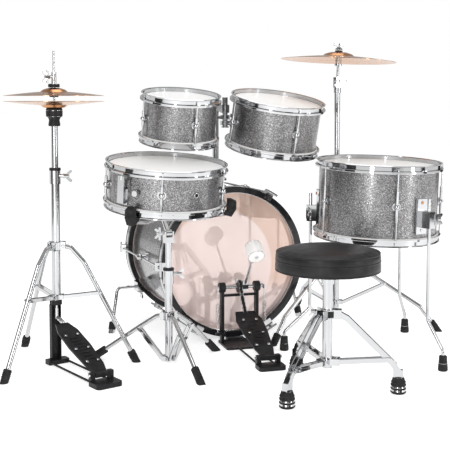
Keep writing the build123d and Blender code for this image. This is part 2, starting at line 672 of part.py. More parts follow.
# ------------------------------------------------------------ cymbal stand
TIL_Z = 762.0
with BuildPart() as cymbal_riser:
    add(cyl(P(*CYM, 200), P(*CYM, 738), 8.5))
    add(cyl(P(*CYM, 726), P(*CYM, 744), 10.5))
    with BuildSketch(Plane(origin=P(CYM[0], CYM[1], 742), z_dir=(0, 0, 1))):
        Rectangle(17, 21)
    extrude(amount=32)
    with Locations(P(CYM[0], CYM[1], TIL_Z + 2)):
        Box(30, 9.4, 36, mode=Mode.SUBTRACT)
    add(cyl(P(CYM[0], CYM[1] - 10.3, TIL_Z), P(CYM[0], CYM[1] - 18, TIL_Z), 4.0))
    add(block(CYM[0] - 13 - OX, CYM[0] + 13 - OX, CYM[1] - 21 - OY, CYM[1] - 17.5 - OY,
              TIL_Z - 6, TIL_Z + 6))
CN = Vector(*CRASH_N).normalized()
TIL = P(CYM[0], CYM[1], TIL_Z)
with BuildPart() as cymbal_tilter:
    add(cyl(TIL + Vector(0, -4.4, 0), TIL + Vector(0, 4.4, 0), 8.0))
    add(cyl(TIL, TIL + CN * 112, 4.0))
    add(cyl(TIL + CN * 46, TIL + CN * 52, 10.5))
    add(cyl(TIL + CN * 52, TIL + CN * 84, 9.5))
    add(cyl(TIL + CN * 95, TIL + CN * 98, 9.5))
    add(cyl(TIL + CN * 98, TIL + CN * 109, 6.0))
    add(cyl(TIL + CN * 108 + Vector(-17, 0, 2), TIL + CN * 108 + Vector(17, 0, 2), 3.0))
CR_AT = Plane(origin=TIL + CN * 62.0, x_dir=(1, 0, 0), z_dir=CN).location
crash = cymbal(CRASH_R, 13.0, 50.0, 14.0, 1.3, 6.2)
with BuildPart() as crash_cymbal:
    add(crash.moved(CR_AT))
    # felts that ride with the cymbal
    add(cyl((0, 0, 27.2), (0, 0, 30.2), 9.0, 5.3).moved(CR_AT))

# ------------------------------------------------------------ snare
n = SNARE["n"]
sl, slow, smid, SH = pack_parts(SNARE)
STR_A = -150.0                    # throw-off direction
R = SNARE["R"]
th_place = smid * SPIN(STR_A)
strainer = fuse(block(R + 0.3, R + 3.4, -11, 11, -35, 29),
                block(R + 3.0, R + 13.4, -8, 8, -26, 6),
                cyl((R + 9.4, -8, -26), (R + 9.4, 8, -26), 4.2))
strainer = cut(strainer, cyl((R + 9.4, -12, -26), (R + 9.4, 12, -26), 2.55))
with BuildPart() as lever:
    add(block(R + 14.0, R + 18.0, -10.8, 10.8, -30, 39))
    for s in (-1, 1):
        add(block(R + 6.4, R + 18, s * 9.6 - 1.2, s * 9.6 + 1.2, -30, -21.5))
    add(cyl((R + 9.4, -10.8, -26), (R + 9.4, 10.8, -26), 2.5))
    add(cyl((R + 17, 0, 30), (R + 17, 0, 41), 4.6))
knob = fuse(cyl((R + 0.4, 0, 0), (R + 8, 0, 0), 4.0), cyl((R + 8, 0, 0), (R + 15, 0, 0), 7.5))
butt = fuse(block(R + 0.3, R + 3.4, -11, 11, -22, 22), block(R + 3, R + 10, -9, 9, -18, 2))
wires = block(-118, 118, -19, 19, -SH / 2 + HEAD_IN - 2.4, -SH / 2 + HEAD_IN - 1.0)
wire_ends = [block(s * 124 - 6.5, s * 124 + 6.5, -22, 22, -SH / 2 + HEAD_IN - 3.0,
                   -SH / 2 + HEAD_IN - 0.9) for s in (-1, 1)]
vent = cyl((R + 0.1, 0, 0), (R + 1.6, 0, 0), 7.5, 4.0)

with BuildPart() as snare_shell:
    add(snare_set["shell"])
with BuildPart() as snare_hoops:
    add(snare_set["hoops"])
with BuildPart() as snare_heads:
    add(snare_set["heads"])
with BuildPart() as snare_lugs:
    add(snare_set["lugs"])
    add(vent.moved(smid * SPIN(-111.6 + 34)))
with BuildPart() as snare_strainer:
    add([strainer.moved(th_place), knob.moved(smid * SPIN(STR_A + 14)),
         butt.moved(smid * SPIN(53.0)), wires.moved(th_place)])
    add([w.moved(th_place) for w in wire_ends])
with BuildPart() as throwoff_lever:
    add(lever.part.moved(th_place))

# basket: three arms under the snare with rubber grips
BASKET_A = [-136.6, -16.6, 103.4]
BZ = -SH - 26.0                   # hub, below the rim top along the drum's axis
arms = []
grips = []
for a in BASKET_A:
    ax = [(16, BZ), (92, BZ), (174, -SH - 9.0), (183.0, -SH + 10)]
    b = bent([(x, 0, z) for x, z in ax], 5.2, 9)
    arms.append(b.moved(sl * SPIN(a)))
    g = side_plate([(150, -SH - 3.2), (166.5, -SH - 3.2), (166.5, -SH + 30), (176.0, -SH + 30),
                    (190, -SH + 24), (191, -SH + 4), (179, -SH - 17), (160, -SH - 12.5),
                    (150, -SH - 9)], -9, 9)
    b_room = bent([(x, 0, z) for x, z in ax], 5.3, 9)
    grips.append(cut(g, b_room).moved(sl * SPIN(a)))
hub = fuse(cyl((0, 0, BZ - 8), (0, 0, BZ + 7), 17.5)).moved(sl)
B0 = P(*SNARE["c"]) + Vector(*n).normalized() * (BZ - 8)
SN_TIL = P(SNARE_POST[0], SNARE_POST[1], 352)
neck = cyl(SN_TIL, B0, 7.0)
with BuildPart() as snare_basket:
    add(fuse(*arms, hub, neck, cyl(SN_TIL + Vector(-7.8, 0, 0), SN_TIL + Vector(7.8, 0, 0), 9.5)))
    add(grips)
with BuildPart() as snare_riser:
    add(cyl(P(*SNARE_POST, 100), P(*SNARE_POST, 330), 8.0))
    add(block(SNARE_POST[0] - 13 - OX, SNARE_POST[0] + 13 - OX, SNARE_POST[1] - 9 - OY,
              SNARE_POST[1] + 9 - OY, 326, 356.5))
    with Locations(SN_TIL + Vector(0, 0, 3)):
        Box(17.2, 30, 28, mode=Mode.SUBTRACT)
    add(cyl(SN_TIL + Vector(-12.8, 0, 0), SN_TIL + Vector(-24, 0, 0), 4.0))
    add(block(SNARE_POST[0] - 26 - OX, SNARE_POST[0] - 22.5 - OX, SNARE_POST[1] - 4 - OY,
              SNARE_POST[1] + 4 - OY, 334, 368))

# ------------------------------------------------------------ throne
T = THRONE
with BuildPart() as throne_seat:
    with BuildSketch(Plane.XZ):
        with BuildLine():
            Polyline((0, 294), (SEAT_R - 8, 294), (SEAT_R, 300), (SEAT_R, 340), (SEAT_R - 7, 348),
                     (SEAT_R * 0.6, 353), (0, 355), close=True)
        make_face()
    revolve(axis=Axis.Z)
    throne_seat_part = throne_seat.part.moved(at(*T))
with BuildPart() as throne_seat:
    add(throne_seat_part)
with BuildPart() as throne_post:
    add(cyl(P(*T, 214), P(*T, 288), 10.4))
    add(cyl(P(*T, 282), P(*T, 293.6), 17.0))
    add(block(T[0] - 60 - OX, T[0] + 60 - OX, T[1] - 9 - OY, T[1] + 9 - OY, 289.5, 293.6))
    add(block(T[0] - 9 - OX, T[0] + 9 - OX, T[1] - 60 - OY, T[1] + 60 - OY, 289.5, 293.6))
    add(cyl(P(T[0] - 16, T[1] - 4, 286), P(T[0] - 30, T[1] - 8, 286), 3.4))
with BuildPart() as throne_base:
    add(cyl(P(*T, 56), P(*T, 281), 12.5))
    add(cyl(P(*T, 262), P(*T, 281.4), 15.5))
    add(cyl(P(*T, 200), P(*T, 290), 10.46), mode=Mode.SUBTRACT)
    add(collar_with_ears(T[0], T[1], 72, 12.0, 18.5, 16, THRONE_LEGS, 31, 11.5))
COL_Z = 189.0
with BuildPart() as throne_collar:
    add(collar_with_ears(T[0], T[1], COL_Z, 12.56, 18.5, 22, THRONE_LEGS, 34, 8.6))
    add(cyl(P(T[0] - 12.7, T[1] + 11, COL_Z + 3), P(T[0] - 26, T[1] + 24, COL_Z + 3), 3.6))
PIV, JNT, HUBP = (27.5, 189.0), (148.0, 82.0), (24.8, 72.0)


def throne_leg(a):
    pl = at(T[0], T[1], 0, a)
    s1 = strap([PIV, (47, 179), (164, 66)], 14, 4.6, 7.2)
    s2 = strap([PIV, (47, 179), (164, 66)], 14, -7.2, -4.6)
    eye = cyl((PIV[0], -7.2, PIV[1]), (PIV[0], 7.2, PIV[1]), 7.0)
    end = cyl((156, -7.2, 74), (156, 7.2, 74), 7.0)
    shoe = fuse(block(158, 182, -7.0, 7.0, 40, 58), strap([(156, 74), (172, 52)], 14, -7.2, 7.2))
    leg = fuse(s1, s2, eye, end, shoe)
    foot = turned([(0, 0), (15.5, 0), (18.5, 4), (17, 12), (18, 16), (15.5, 24), (16.5, 28),
                   (13, 39.9), (0, 39.9)]).moved(Location((171, 0, 0)))
    return [leg.moved(pl), foot.moved(pl)]


def throne_brace(a):
    pl = at(T[0], T[1], 0, a)
    parts = []
    for o in (-10.2, 7.6):
        parts.append(fuse(strap([HUBP, JNT], 11, o, o + 2.6),
                          cyl((HUBP[0], o, HUBP[1]), (HUBP[0], o + 2.6, HUBP[1]), 5.5),
                          cyl((JNT[0], o, JNT[1]), (JNT[0], o + 2.6, JNT[1]), 5.5)))
    pin = cyl((HUBP[0], -10.2, HUBP[1]), (HUBP[0], 10.2, HUBP[1]), 3.0)
    return fuse(*parts, pin).moved(pl)


tl = [throne_leg(a) for a in THRONE_LEGS]
tb = [throne_brace(a) for a in THRONE_LEGS]
with BuildPart() as throne_leg_right:
    add(tl[0])
with BuildPart() as throne_leg_left:
    add(tl[1])
with BuildPart() as throne_leg_front:
    add(tl[2])
with BuildPart() as throne_brace_right:
    add(tb[0])
with BuildPart() as throne_brace_left:
    add(tb[1])
with BuildPart() as throne_brace_front:
    add(tb[2])

# ------------------------------------------------------------ kick pedal
KP = at(PEDAL_HEAD[0], PEDAL_HEAD[1], 0, PEDAL_TURN)   # axle at local origin, heel at -Y
AX_Z = 165.0
with BuildPart() as kf:
    add(block(-58, 58, -76, 26, 0, 6, 8))
    add(block(-26, 26, 20, 54, 0, 6.0))
    for s in (-1, 1):
        add(block(s * 52 - 4.5, s * 52 + 4.5, -9, 9, 5, 156))
        add(cyl((s * 52 - 8, 0, AX_Z), (s * 52 + 8, 0, AX_Z), 13.0))
        add(cyl((s * 22, -70, 3.2), (s * 22, -262, 3.2), 3.0))
        add(block(min(s * 48, s * 76), max(s * 48, s * 76), -24, -14, 32, 38))
        add(block(s * 52 - 4, s * 52 + 4, -15, 0, 30, 38))
    add(block(-52, 52, -4, 4, 138, 145))
    with BuildSketch(Plane.XY):
        with Locations((0, -281)):
            RectangleRounded(74, 50, 10)
    extrude(amount=11)
    for s in (-1, 1):
        add(block(s * 27 - 6, s * 27 + 6, -268, -254, 10, 32))
    add(cyl((-45, -261, 25), (45, -261, 25), 3.06), mode=Mode.SUBTRACT)
    add(cyl((-70, 0, AX_Z), (70, 0, AX_Z), 5.06), mode=Mode.SUBTRACT)
with BuildPart() as kick_frame:
    add(kf.part.moved(KP))
    # hoop clamp jaw over the batter rim's foot
FBK = math.degrees(math.atan2(104 - 27, 261 - 45))
with BuildPart() as kfb:
    with BuildSketch(Plane(origin=(0, -261, 25), x_dir=(1, 0, 0),
                           z_dir=(0, -math.sin(math.radians(FBK)),
                                  math.cos(math.radians(FBK))))):
        with BuildLine():
            Polyline((-18, 4), (18, 4), (26, 36), (36, 120), (38, 180), (28, 222), (-28, 222),
                     (-38, 180), (-36, 120), (-26, 36), close=True)
        make_face()
    extrude(amount=5)
    add(block(-20, 20, -268.5, -253.5, 19, 31))
    add(cyl((-35, -261, 25), (35, -261, 25), 3.0))
    with BuildSketch(Plane.YZ.offset(-4)):
        with BuildLine():
            Polyline((-62, 100), (-57, 98), (-20.5, 146), (-20.5, 158), (-23.5, 158),
                     (-23.5, 148), close=True)
        make_face()
    extrude(amount=8)
with BuildPart() as kick_footboard:
    add(kfb.part.moved(KP))

B_TILT = 39.0                     # beater shaft leans back from upright
bs, bcs = math.sin(math.radians(B_TILT)), math.cos(math.radians(B_TILT))
with BuildPart() as kb:
    add(cyl((-72, 0, AX_Z), (72, 0, AX_Z), 5.0))
    add(cyl((-5, 0, AX_Z), (5, 0, AX_Z), 18.5))
    add(block(8, 24, -10, 10, AX_Z - 12, AX_Z + 16))
    add(cyl((16, 0, AX_Z), (16, -158 * bs, AX_Z + 158 * bcs), 3.6))
    for s in (-1, 1):
        add(block(s * 70 - 2, s * 70 + 2, -25, 6, AX_Z - 5, AX_Z + 6))
beater_head = cut(cyl((16, -150 * bs - 21 * bcs, AX_Z + 150 * bcs - 21 * bs),
                      (16, -150 * bs + 21 * bcs, AX_Z + 150 * bcs + 21 * bs), 24.0),
                  cyl((16, 0, AX_Z), (16, -158.1 * bs, AX_Z + 158.1 * bcs), 3.65))
with BuildPart() as kick_beater:
    add(kb.part.moved(KP))
    add(beater_head.moved(KP))
with BuildPart() as kick_springs:
    for s in (-1, 1):
        add(cyl((s * 70, -19, 62), (s * 70, -19, 122), 6.0, 4.2).moved(KP))
        add(cyl((s * 70, -19, 38.3), (s * 70, -19, 159.6), 1.6).moved(KP))

with BuildPart() as stand_tubes:
    add(tubes)
with BuildPart() as stand_legs:
    add(legs)
with BuildPart() as rubber_feet:
    add(feet)

# ------------------------------------------------------------ hand over
named = dict(
    bass_shell=bass_shell, bass_hoops=bass_hoops, bass_heads=bass_heads, bass_lugs=bass_lugs,
    bass_tension_rods=bass_tension_rods, bass_brackets=bass_brackets, spur_left=spur_left,
    spur_right=spur_right, tom_post=tom_post, tom_arm_left=tom_arm_left,
    tom_arm_right=tom_arm_right, small_tom_shell=small_tom_shell,
    small_tom_hoops=small_tom_hoops, small_tom_heads=small_tom_heads,
    small_tom_lugs=small_tom_lugs, mid_tom_shell=mid_tom_shell, mid_tom_hoops=mid_tom_hoops,
    mid_tom_heads=mid_tom_heads, mid_tom_lugs=mid_tom_lugs, floor_tom_shell=floor_tom_shell,
    floor_tom_hoops=floor_tom_hoops, floor_tom_heads=floor_tom_heads,
    floor_tom_lugs=floor_tom_lugs, floor_leg_front=floor_leg_front,
    floor_leg_left=floor_leg_left, floor_leg_back=floor_leg_back, snare_shell=snare_shell,
    snare_hoops=snare_hoops, snare_heads=snare_heads, snare_lugs=snare_lugs,
    snare_strainer=snare_strainer, throwoff_lever=throwoff_lever, snare_basket=snare_basket,
    snare_riser=snare_riser, hihat_riser=hihat_riser, hihat_bottom_cymbal=hihat_bottom_cymbal,
    hihat_rod=hihat_rod, hihat_top_cymbal=hihat_top_cymbal, hihat_footboard=hihat_footboard,
    hihat_frame=hihat_frame, cymbal_riser=cymbal_riser, cymbal_tilter=cymbal_tilter,
    crash_cymbal=crash_cymbal, throne_seat=throne_seat, throne_post=throne_post,
    throne_base=throne_base, throne_collar=throne_collar, throne_leg_right=throne_leg_right,
    throne_leg_left=throne_leg_left, throne_leg_front=throne_leg_front,
    throne_brace_right=throne_brace_right, throne_brace_left=throne_brace_left,
    throne_brace_front=throne_brace_front, kick_frame=kick_frame,
    kick_footboard=kick_footboard, kick_beater=kick_beater, kick_springs=kick_springs,
    stand_tubes=stand_tubes, stand_legs=stand_legs, rubber_feet=rubber_feet)

lo = [1e9] * 3
hi = [-1e9] * 3
for name, piece in named.items():
    piece.part.label = name
    export_step(piece.part, f"parts/{name}.step")
    bb = piece.part.bounding_box()
    for i, (a, b) in enumerate(zip(bb.min, bb.max)):
        lo[i], hi[i] = min(lo[i], a), max(hi[i], b)
print("pieces", len(named), "box", [round(v, 3) for v in lo], [round(v, 3) for v in hi])
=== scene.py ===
import bpy, bmesh, json, math
from mathutils import Vector, Matrix, Euler

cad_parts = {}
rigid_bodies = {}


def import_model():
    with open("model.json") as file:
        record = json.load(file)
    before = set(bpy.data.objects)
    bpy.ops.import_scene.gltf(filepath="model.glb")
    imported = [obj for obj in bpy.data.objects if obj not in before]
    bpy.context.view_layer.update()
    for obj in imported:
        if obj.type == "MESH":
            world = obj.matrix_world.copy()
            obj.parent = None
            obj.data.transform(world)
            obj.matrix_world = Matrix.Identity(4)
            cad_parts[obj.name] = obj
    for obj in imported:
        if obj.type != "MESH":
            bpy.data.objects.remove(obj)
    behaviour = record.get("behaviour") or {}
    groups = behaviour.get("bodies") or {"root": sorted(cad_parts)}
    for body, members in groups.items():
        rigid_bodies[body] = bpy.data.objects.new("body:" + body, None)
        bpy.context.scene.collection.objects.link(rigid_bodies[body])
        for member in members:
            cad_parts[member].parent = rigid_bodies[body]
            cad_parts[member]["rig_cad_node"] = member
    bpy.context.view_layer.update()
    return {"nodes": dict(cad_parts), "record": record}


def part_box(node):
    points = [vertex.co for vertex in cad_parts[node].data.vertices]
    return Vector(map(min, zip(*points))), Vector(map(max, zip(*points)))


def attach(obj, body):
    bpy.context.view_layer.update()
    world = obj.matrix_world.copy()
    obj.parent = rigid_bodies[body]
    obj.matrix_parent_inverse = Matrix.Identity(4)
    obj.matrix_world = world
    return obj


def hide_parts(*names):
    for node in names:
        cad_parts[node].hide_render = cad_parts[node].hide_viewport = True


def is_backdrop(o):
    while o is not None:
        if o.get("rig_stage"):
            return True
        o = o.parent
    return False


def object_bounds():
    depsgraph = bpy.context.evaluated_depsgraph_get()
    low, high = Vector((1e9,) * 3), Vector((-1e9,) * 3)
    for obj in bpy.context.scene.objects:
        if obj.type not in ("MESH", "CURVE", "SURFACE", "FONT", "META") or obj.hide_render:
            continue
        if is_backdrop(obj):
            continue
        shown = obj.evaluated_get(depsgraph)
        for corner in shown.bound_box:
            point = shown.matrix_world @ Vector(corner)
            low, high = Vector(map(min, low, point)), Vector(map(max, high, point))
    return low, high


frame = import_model()
NODES = frame["nodes"]
OX, OY = -40.1, -130.7


def F(x, y, z):
    """Kit coordinates in mm to the row frame in metres."""
    return Vector(((x - OX) / 1000.0, (y - OY) / 1000.0, z / 1000.0))


# ------------------------------------------------------------------ materials
def new_mat(name):
    m = bpy.data.materials.new(name)
    m.use_nodes = True
    nt = m.node_tree
    nt.nodes.clear()
    out = nt.nodes.new("ShaderNodeOutputMaterial")
    b = nt.nodes.new("ShaderNodeBsdfPrincipled")
    nt.links.new(b.outputs[0], out.inputs[0])
    tc = nt.nodes.new("ShaderNodeTexCoord")
    return m, nt, b, tc.outputs["Object"]


def noise(nt, co, scale, detail=4.0, rough=0.55):
    n = nt.nodes.new("ShaderNodeTexNoise")
    n.inputs["Scale"].default_value = scale
    n.inputs["Detail"].default_value = detail
    n.inputs["Roughness"].default_value = rough
    nt.links.new(co, n.inputs["Vector"])
    return n.outputs[0]


def ramp(nt, fac, stops):
    r = nt.nodes.new("ShaderNodeValToRGB")
    el = r.color_ramp.elements
    while len(el) < len(stops):
        el.new(0.5)
    for e, (p, c) in zip(el, stops):
        e.position = p
        e.color = (c[0], c[1], c[2], 1) if hasattr(c, "__len__") else (c, c, c, 1)
    nt.links.new(fac, r.inputs[0])
    return r.outputs[0]


def rng(nt, fac, lo, hi, a=0.0, b=1.0):
    r = nt.nodes.new("ShaderNodeMapRange")
    r.inputs[1].default_value, r.inputs[2].default_value = a, b
    r.inputs[3].default_value, r.inputs[4].default_value = lo, hi
    nt.links.new(fac, r.inputs[0])
    return r.outputs[0]


def op(nt, kind, a, b=None):
    m = nt.nodes.new("ShaderNodeMath")
    m.operation = kind
    for i, v in enumerate((a, b)):
        if v is None:
            continue
        if isinstance(v, (int, float)):
            m.inputs[i].default_value = v
        else:
            nt.links.new(v, m.inputs[i])
    return m.outputs[0]


def mix(nt, fac, a, b):
    m = nt.nodes.new("ShaderNodeMix")
    m.data_type = "RGBA"
    if isinstance(fac, (int, float)):
        m.inputs[0].default_value = fac
    else:
        nt.links.new(fac, m.inputs[0])
    for i, v in ((6, a), (7, b)):
        if isinstance(v, tuple):
            m.inputs[i].default_value = (*v, 1)
        else:
            nt.links.new(v, m.inputs[i])
    return m.outputs[2]


def bump(nt, b, height, strength, dist):
    n = nt.nodes.new("ShaderNodeBump")
    n.inputs["Strength"].default_value = strength
    n.inputs["Distance"].default_value = dist
    nt.links.new(height, n.inputs["Height"])
    nt.links.new(n.outputs[0], b.inputs["Normal"])


def setv(b, **k):
    for key, v in k.items():
        b.inputs[key.replace("_", " ")].default_value = v


def flake_mat():
    m, nt, b, co = new_mat("flake_wrap")
    v = nt.nodes.new("ShaderNodeTexVoronoi")
    v.inputs["Scale"].default_value = 1150
    nt.links.new(co, v.inputs["Vector"])
    sep = nt.nodes.new("ShaderNodeSeparateColor")
    nt.links.new(v.outputs["Color"], sep.inputs[0])
    v2 = nt.nodes.new("ShaderNodeTexVoronoi")
    v2.inputs["Scale"].default_value = 640
    nt.links.new(co, v2.inputs["Vector"])
    sep2 = nt.nodes.new("ShaderNodeSeparateColor")
    nt.links.new(v2.outputs["Color"], sep2.inputs[0])
    both = op(nt, "ADD", op(nt, "MULTIPLY", sep.outputs[0], 0.6), op(nt, "MULTIPLY", sep2.outputs[1], 0.4))
    nt.links.new(ramp(nt, both, [(0.12, (0.045, 0.043, 0.045)), (0.45, (0.15, 0.147, 0.15)),
                                 (0.72, (0.33, 0.325, 0.33)), (0.92, (0.85, 0.84, 0.85))]), b.inputs["Base Color"])
    nt.links.new(rng(nt, sep.outputs[2], 0.24, 0.40), b.inputs["Roughness"])
    setv(b, Metallic=0.88, Coat_Weight=0.5, Coat_Roughness=0.05)
    bump(nt, b, both, 0.16, 0.0004)
    return m


def chrome_mat(name="chrome", base=(0.55, 0.556, 0.565), r0=0.03, r1=0.09):
    m, nt, b, co = new_mat(name)
    n = noise(nt, co, 55, 5)
    big = noise(nt, co, 9, 2)
    nt.links.new(ramp(nt, big, [(0.3, tuple(c * 0.93 for c in base)), (0.7, base)]), b.inputs["Base Color"])
    nt.links.new(rng(nt, n, r0, r1, 0.3, 0.7), b.inputs["Roughness"])
    setv(b, Metallic=1.0)
    bump(nt, b, noise(nt, co, 420, 2), 0.02, 0.0002)
    return m


def head_mat(name="head_film", base=(0.975, 0.965, 0.955), rough=(0.42, 0.58), coat=0.10):
    m, nt, b, co = new_mat(name)
    n = noise(nt, co, 7, 3)
    fine = noise(nt, co, 900, 3)
    nt.links.new(ramp(nt, n, [(0.3, tuple(c * 0.965 for c in base)), (0.7, base)]), b.inputs["Base Color"])
    nt.links.new(rng(nt, fine, rough[0], rough[1], 0.3, 0.7), b.inputs["Roughness"])
    setv(b, Coat_Weight=coat, Coat_Roughness=0.2, Subsurface_Weight=0.05, Subsurface_Scale=0.002)
    bump(nt, b, fine, 0.12, 0.0003)
    return m


def bass_film():
    """Clear glossy batter film over the salmon inside of the drum."""
    m, nt, b, co = new_mat("bass_film")
    n = noise(nt, co, 2.4, 3)
    fine = noise(nt, co, 30, 3)
    sep = nt.nodes.new("ShaderNodeSeparateXYZ")
    nt.links.new(co, sep.inputs[0])
    # painted reflection: a darker tan crescent at the top right stands for the floor tom mirrored in the film, laid
    # over the far rim and shell seen through it
    dx = op(nt, "SUBTRACT", sep.outputs[0], F(-38, 0, 0)[0])
    dz = op(nt, "SUBTRACT", sep.outputs[2], 0.215)
    rr = op(nt, "SQRT", op(nt, "ADD", op(nt, "MULTIPLY", dx, dx), op(nt, "MULTIPLY", dz, dz)))
    reflection_crescent = rng(nt, rr, 0.0, 1.0, 0.165, 0.172)
    up = rng(nt, sep.outputs[2], 0.0, 1.0, 0.13, 0.17)
    near = op(nt, "LESS_THAN", sep.outputs[1], F(0, 200, 0)[1])
    k = op(nt, "MULTIPLY", op(nt, "MULTIPLY", op(nt, "MINIMUM", reflection_crescent, 1.0), up), near)
    base = ramp(nt, n, [(0.30, (0.84, 0.64, 0.60)), (0.55, (0.90, 0.74, 0.70)), (0.75, (0.93, 0.79, 0.76))])
    # mix the painted floor-tom reflection crescent into the head colour
    nt.links.new(mix(nt, op(nt, "MULTIPLY", k, 0.75), base, (0.70, 0.47, 0.36)), b.inputs["Base Color"])
    nt.links.new(rng(nt, fine, 0.02, 0.05, 0.3, 0.7), b.inputs["Roughness"])
    setv(b, Metallic=0.17, Coat_Weight=1.0, Coat_Roughness=0.01)
    bump(nt, b, n, 0.03, 0.001)
    return m


def hoop_black():
    """Black lacquer with a silver-grey inlay band round the middle of each hoop."""
    m, nt, b, co = new_mat("black_gloss")
    sep = nt.nodes.new("ShaderNodeSeparateXYZ")
    nt.links.new(co, sep.inputs[0])
    y = sep.outputs[1]
    band = None
    for c in (F(0, 19, 0)[1], F(0, 366, 0)[1]):
        d = op(nt, "ABSOLUTE", op(nt, "SUBTRACT", y, c))
        k = op(nt, "LESS_THAN", d, 0.0068)
        band = k if band is None else op(nt, "MAXIMUM", band, k)
    v = nt.nodes.new("ShaderNodeTexVoronoi")
    v.inputs["Scale"].default_value = 620
    nt.links.new(co, v.inputs["Vector"])
    sp = nt.nodes.new("ShaderNodeSeparateColor")
    nt.links.new(v.outputs["Color"], sp.inputs[0])
    silver = ramp(nt, sp.outputs[0], [(0.0, (0.30, 0.30, 0.31)), (1.0, (0.72, 0.72, 0.73))])
    n = noise(nt, co, 14, 3)
    black = ramp(nt, n, [(0.3, (0.008, 0.008, 0.009)), (0.7, (0.018, 0.018, 0.02))])
    nt.links.new(mix(nt, band, black, silver), b.inputs["Base Color"])
    nt.links.new(op(nt, "MULTIPLY", band, 0.75), b.inputs["Metallic"])
    nt.links.new(rng(nt, noise(nt, co, 60, 3), 0.08, 0.16, 0.3, 0.7), b.inputs["Roughness"])
    setv(b, Coat_Weight=0.25, Coat_Roughness=0.03, Specular_IOR_Level=0.35)
    bump(nt, b, noise(nt, co, 260, 2), 0.03, 0.0005)
    return m


def cymbal_mat(name, centre, axis, bell):
    """Lathed bronze: rings about the cymbal's own axis."""
    m, nt, b, co = new_mat(name)
    s = nt.nodes.new("ShaderNodeVectorMath"); s.operation = "SUBTRACT"
    nt.links.new(co, s.inputs[0]); s.inputs[1].default_value = centre
    c = nt.nodes.new("ShaderNodeVectorMath"); c.operation = "CROSS_PRODUCT"
    nt.links.new(s.outputs[0], c.inputs[0]); c.inputs[1].default_value = axis
    l = nt.nodes.new("ShaderNodeVectorMath"); l.operation = "LENGTH"
    nt.links.new(c.outputs[0], l.inputs[0])
    r = l.outputs["Value"]
    comb = nt.nodes.new("ShaderNodeCombineXYZ")
    nt.links.new(r, comb.inputs[0])
    rings = noise(nt, comb.outputs[0], 900, 3, 0.7)
    broad = noise(nt, comb.outputs[0], 90, 2, 0.5)
    mott = noise(nt, co, 26, 4)
    col = ramp(nt, broad, [(0.25, (0.34, 0.14, 0.055)), (0.5, (0.55, 0.28, 0.13)), (0.75, (0.78, 0.50, 0.30))])
    col = mix(nt, rng(nt, mott, 0.0, 0.35, 0.4, 0.7), col, (0.55, 0.26, 0.12))
    inbell = op(nt, "LESS_THAN", r, bell)
    col = mix(nt, inbell, col, (0.52, 0.24, 0.11))
    nt.links.new(col, b.inputs["Base Color"])
    nt.links.new(rng(nt, rings, 0.10, 0.26, 0.3, 0.7), b.inputs["Roughness"])
    setv(b, Metallic=1.0)
    bump(nt, b, op(nt, "ADD", rings, op(nt, "MULTIPLY", op(nt, "SINE", op(nt, "MULTIPLY", r, 2600.0)), 0.35)), 0.30, 0.0004)
    return m


def vinyl_mat():
    m, nt, b, co = new_mat("vinyl")
    v = nt.nodes.new("ShaderNodeTexVoronoi")
    v.feature = "DISTANCE_TO_EDGE"
    v.inputs["Scale"].default_value = 420
    nt.links.new(co, v.inputs["Vector"])
    n = noise(nt, co, 24, 4)
    nt.links.new(ramp(nt, n, [(0.3, (0.011, 0.011, 0.012)), (0.7, (0.024, 0.023, 0.024))]), b.inputs["Base Color"])
    nt.links.new(rng(nt, n, 0.30, 0.44, 0.3, 0.7), b.inputs["Roughness"])
    setv(b, Coat_Weight=0.05, Coat_Roughness=0.25, Specular_IOR_Level=0.34)
    bump(nt, b, op(nt, "ADD", op(nt, "MINIMUM", v.outputs[0], 0.12), op(nt, "MULTIPLY", noise(nt, co, 16, 3), 0.4)), 0.35, 0.0012)
    return m


def simple(name, c0, c1, scale, rough, metal=0.0, bstr=0.1, bscale=300, coat=0.0, dist=0.0005):
    m, nt, b, co = new_mat(name)
    n = noise(nt, co, scale, 4)
    nt.links.new(ramp(nt, n, [(0.3, c0), (0.7, c1)]), b.inputs["Base Color"])
    nt.links.new(rng(nt, noise(nt, co, scale * 2.3, 4), rough[0], rough[1], 0.3, 0.7), b.inputs["Roughness"])
    setv(b, Metallic=metal, Coat_Weight=coat, Coat_Roughness=0.1, Specular_IOR_Level=0.30)
    bump(nt, b, noise(nt, co, bscale, 3), bstr, dist)
    return m


M = {
    "flake": flake_mat(), "chrome": chrome_mat(), "head": head_mat(), "bassfilm": bass_film(),
    "hoop": hoop_black(), "vinyl": vinyl_mat(),
    "rubber": simple("rubber", (0.012, 0.012, 0.012), (0.03, 0.03, 0.03), 90, (0.55, 0.8), 0, 0.3, 500),
    "blackp": simple("black_plastic", (0.012, 0.012, 0.013), (0.026, 0.026, 0.027), 50, (0.3, 0.5), 0, 0.12, 700),
    "blackm": simple("black_metal", (0.006, 0.006, 0.007), (0.016, 0.016, 0.018), 40, (0.30, 0.46), 0.0, 0.12, 900, 0.1),
    "steel": chrome_mat("steel", (0.66, 0.66, 0.67), 0.16, 0.32),
    "felt_b": simple("felt_black", (0.010, 0.010, 0.010), (0.04, 0.04, 0.04), 600, (0.85, 1.0), 0, 0.6, 1500, 0, 0.001),
    "felt_w": simple("felt_white", (0.88, 0.86, 0.84), (0.97, 0.955, 0.94), 500, (0.85, 1.0), 0, 0.6, 1500, 0, 0.001),
    "copper": simple("copper", (0.60, 0.27, 0.12), (0.78, 0.40, 0.22), 120, (0.2, 0.35), 1.0, 0.05, 500),
    # near-black: painted shade inside the vent holes, and the real dark line of the wrap seam
    "hole": simple("shade_and_seam_dark", (0.004, 0.004, 0.004), (0.012, 0.012, 0.012), 90, (0.7, 0.9), 0, 0.1, 500),
}
HAT = (-536.0, -57.0)
CYM = (355.0, 34.0)
cn = Vector((0.045, 0.0, 0.999)).normalized()

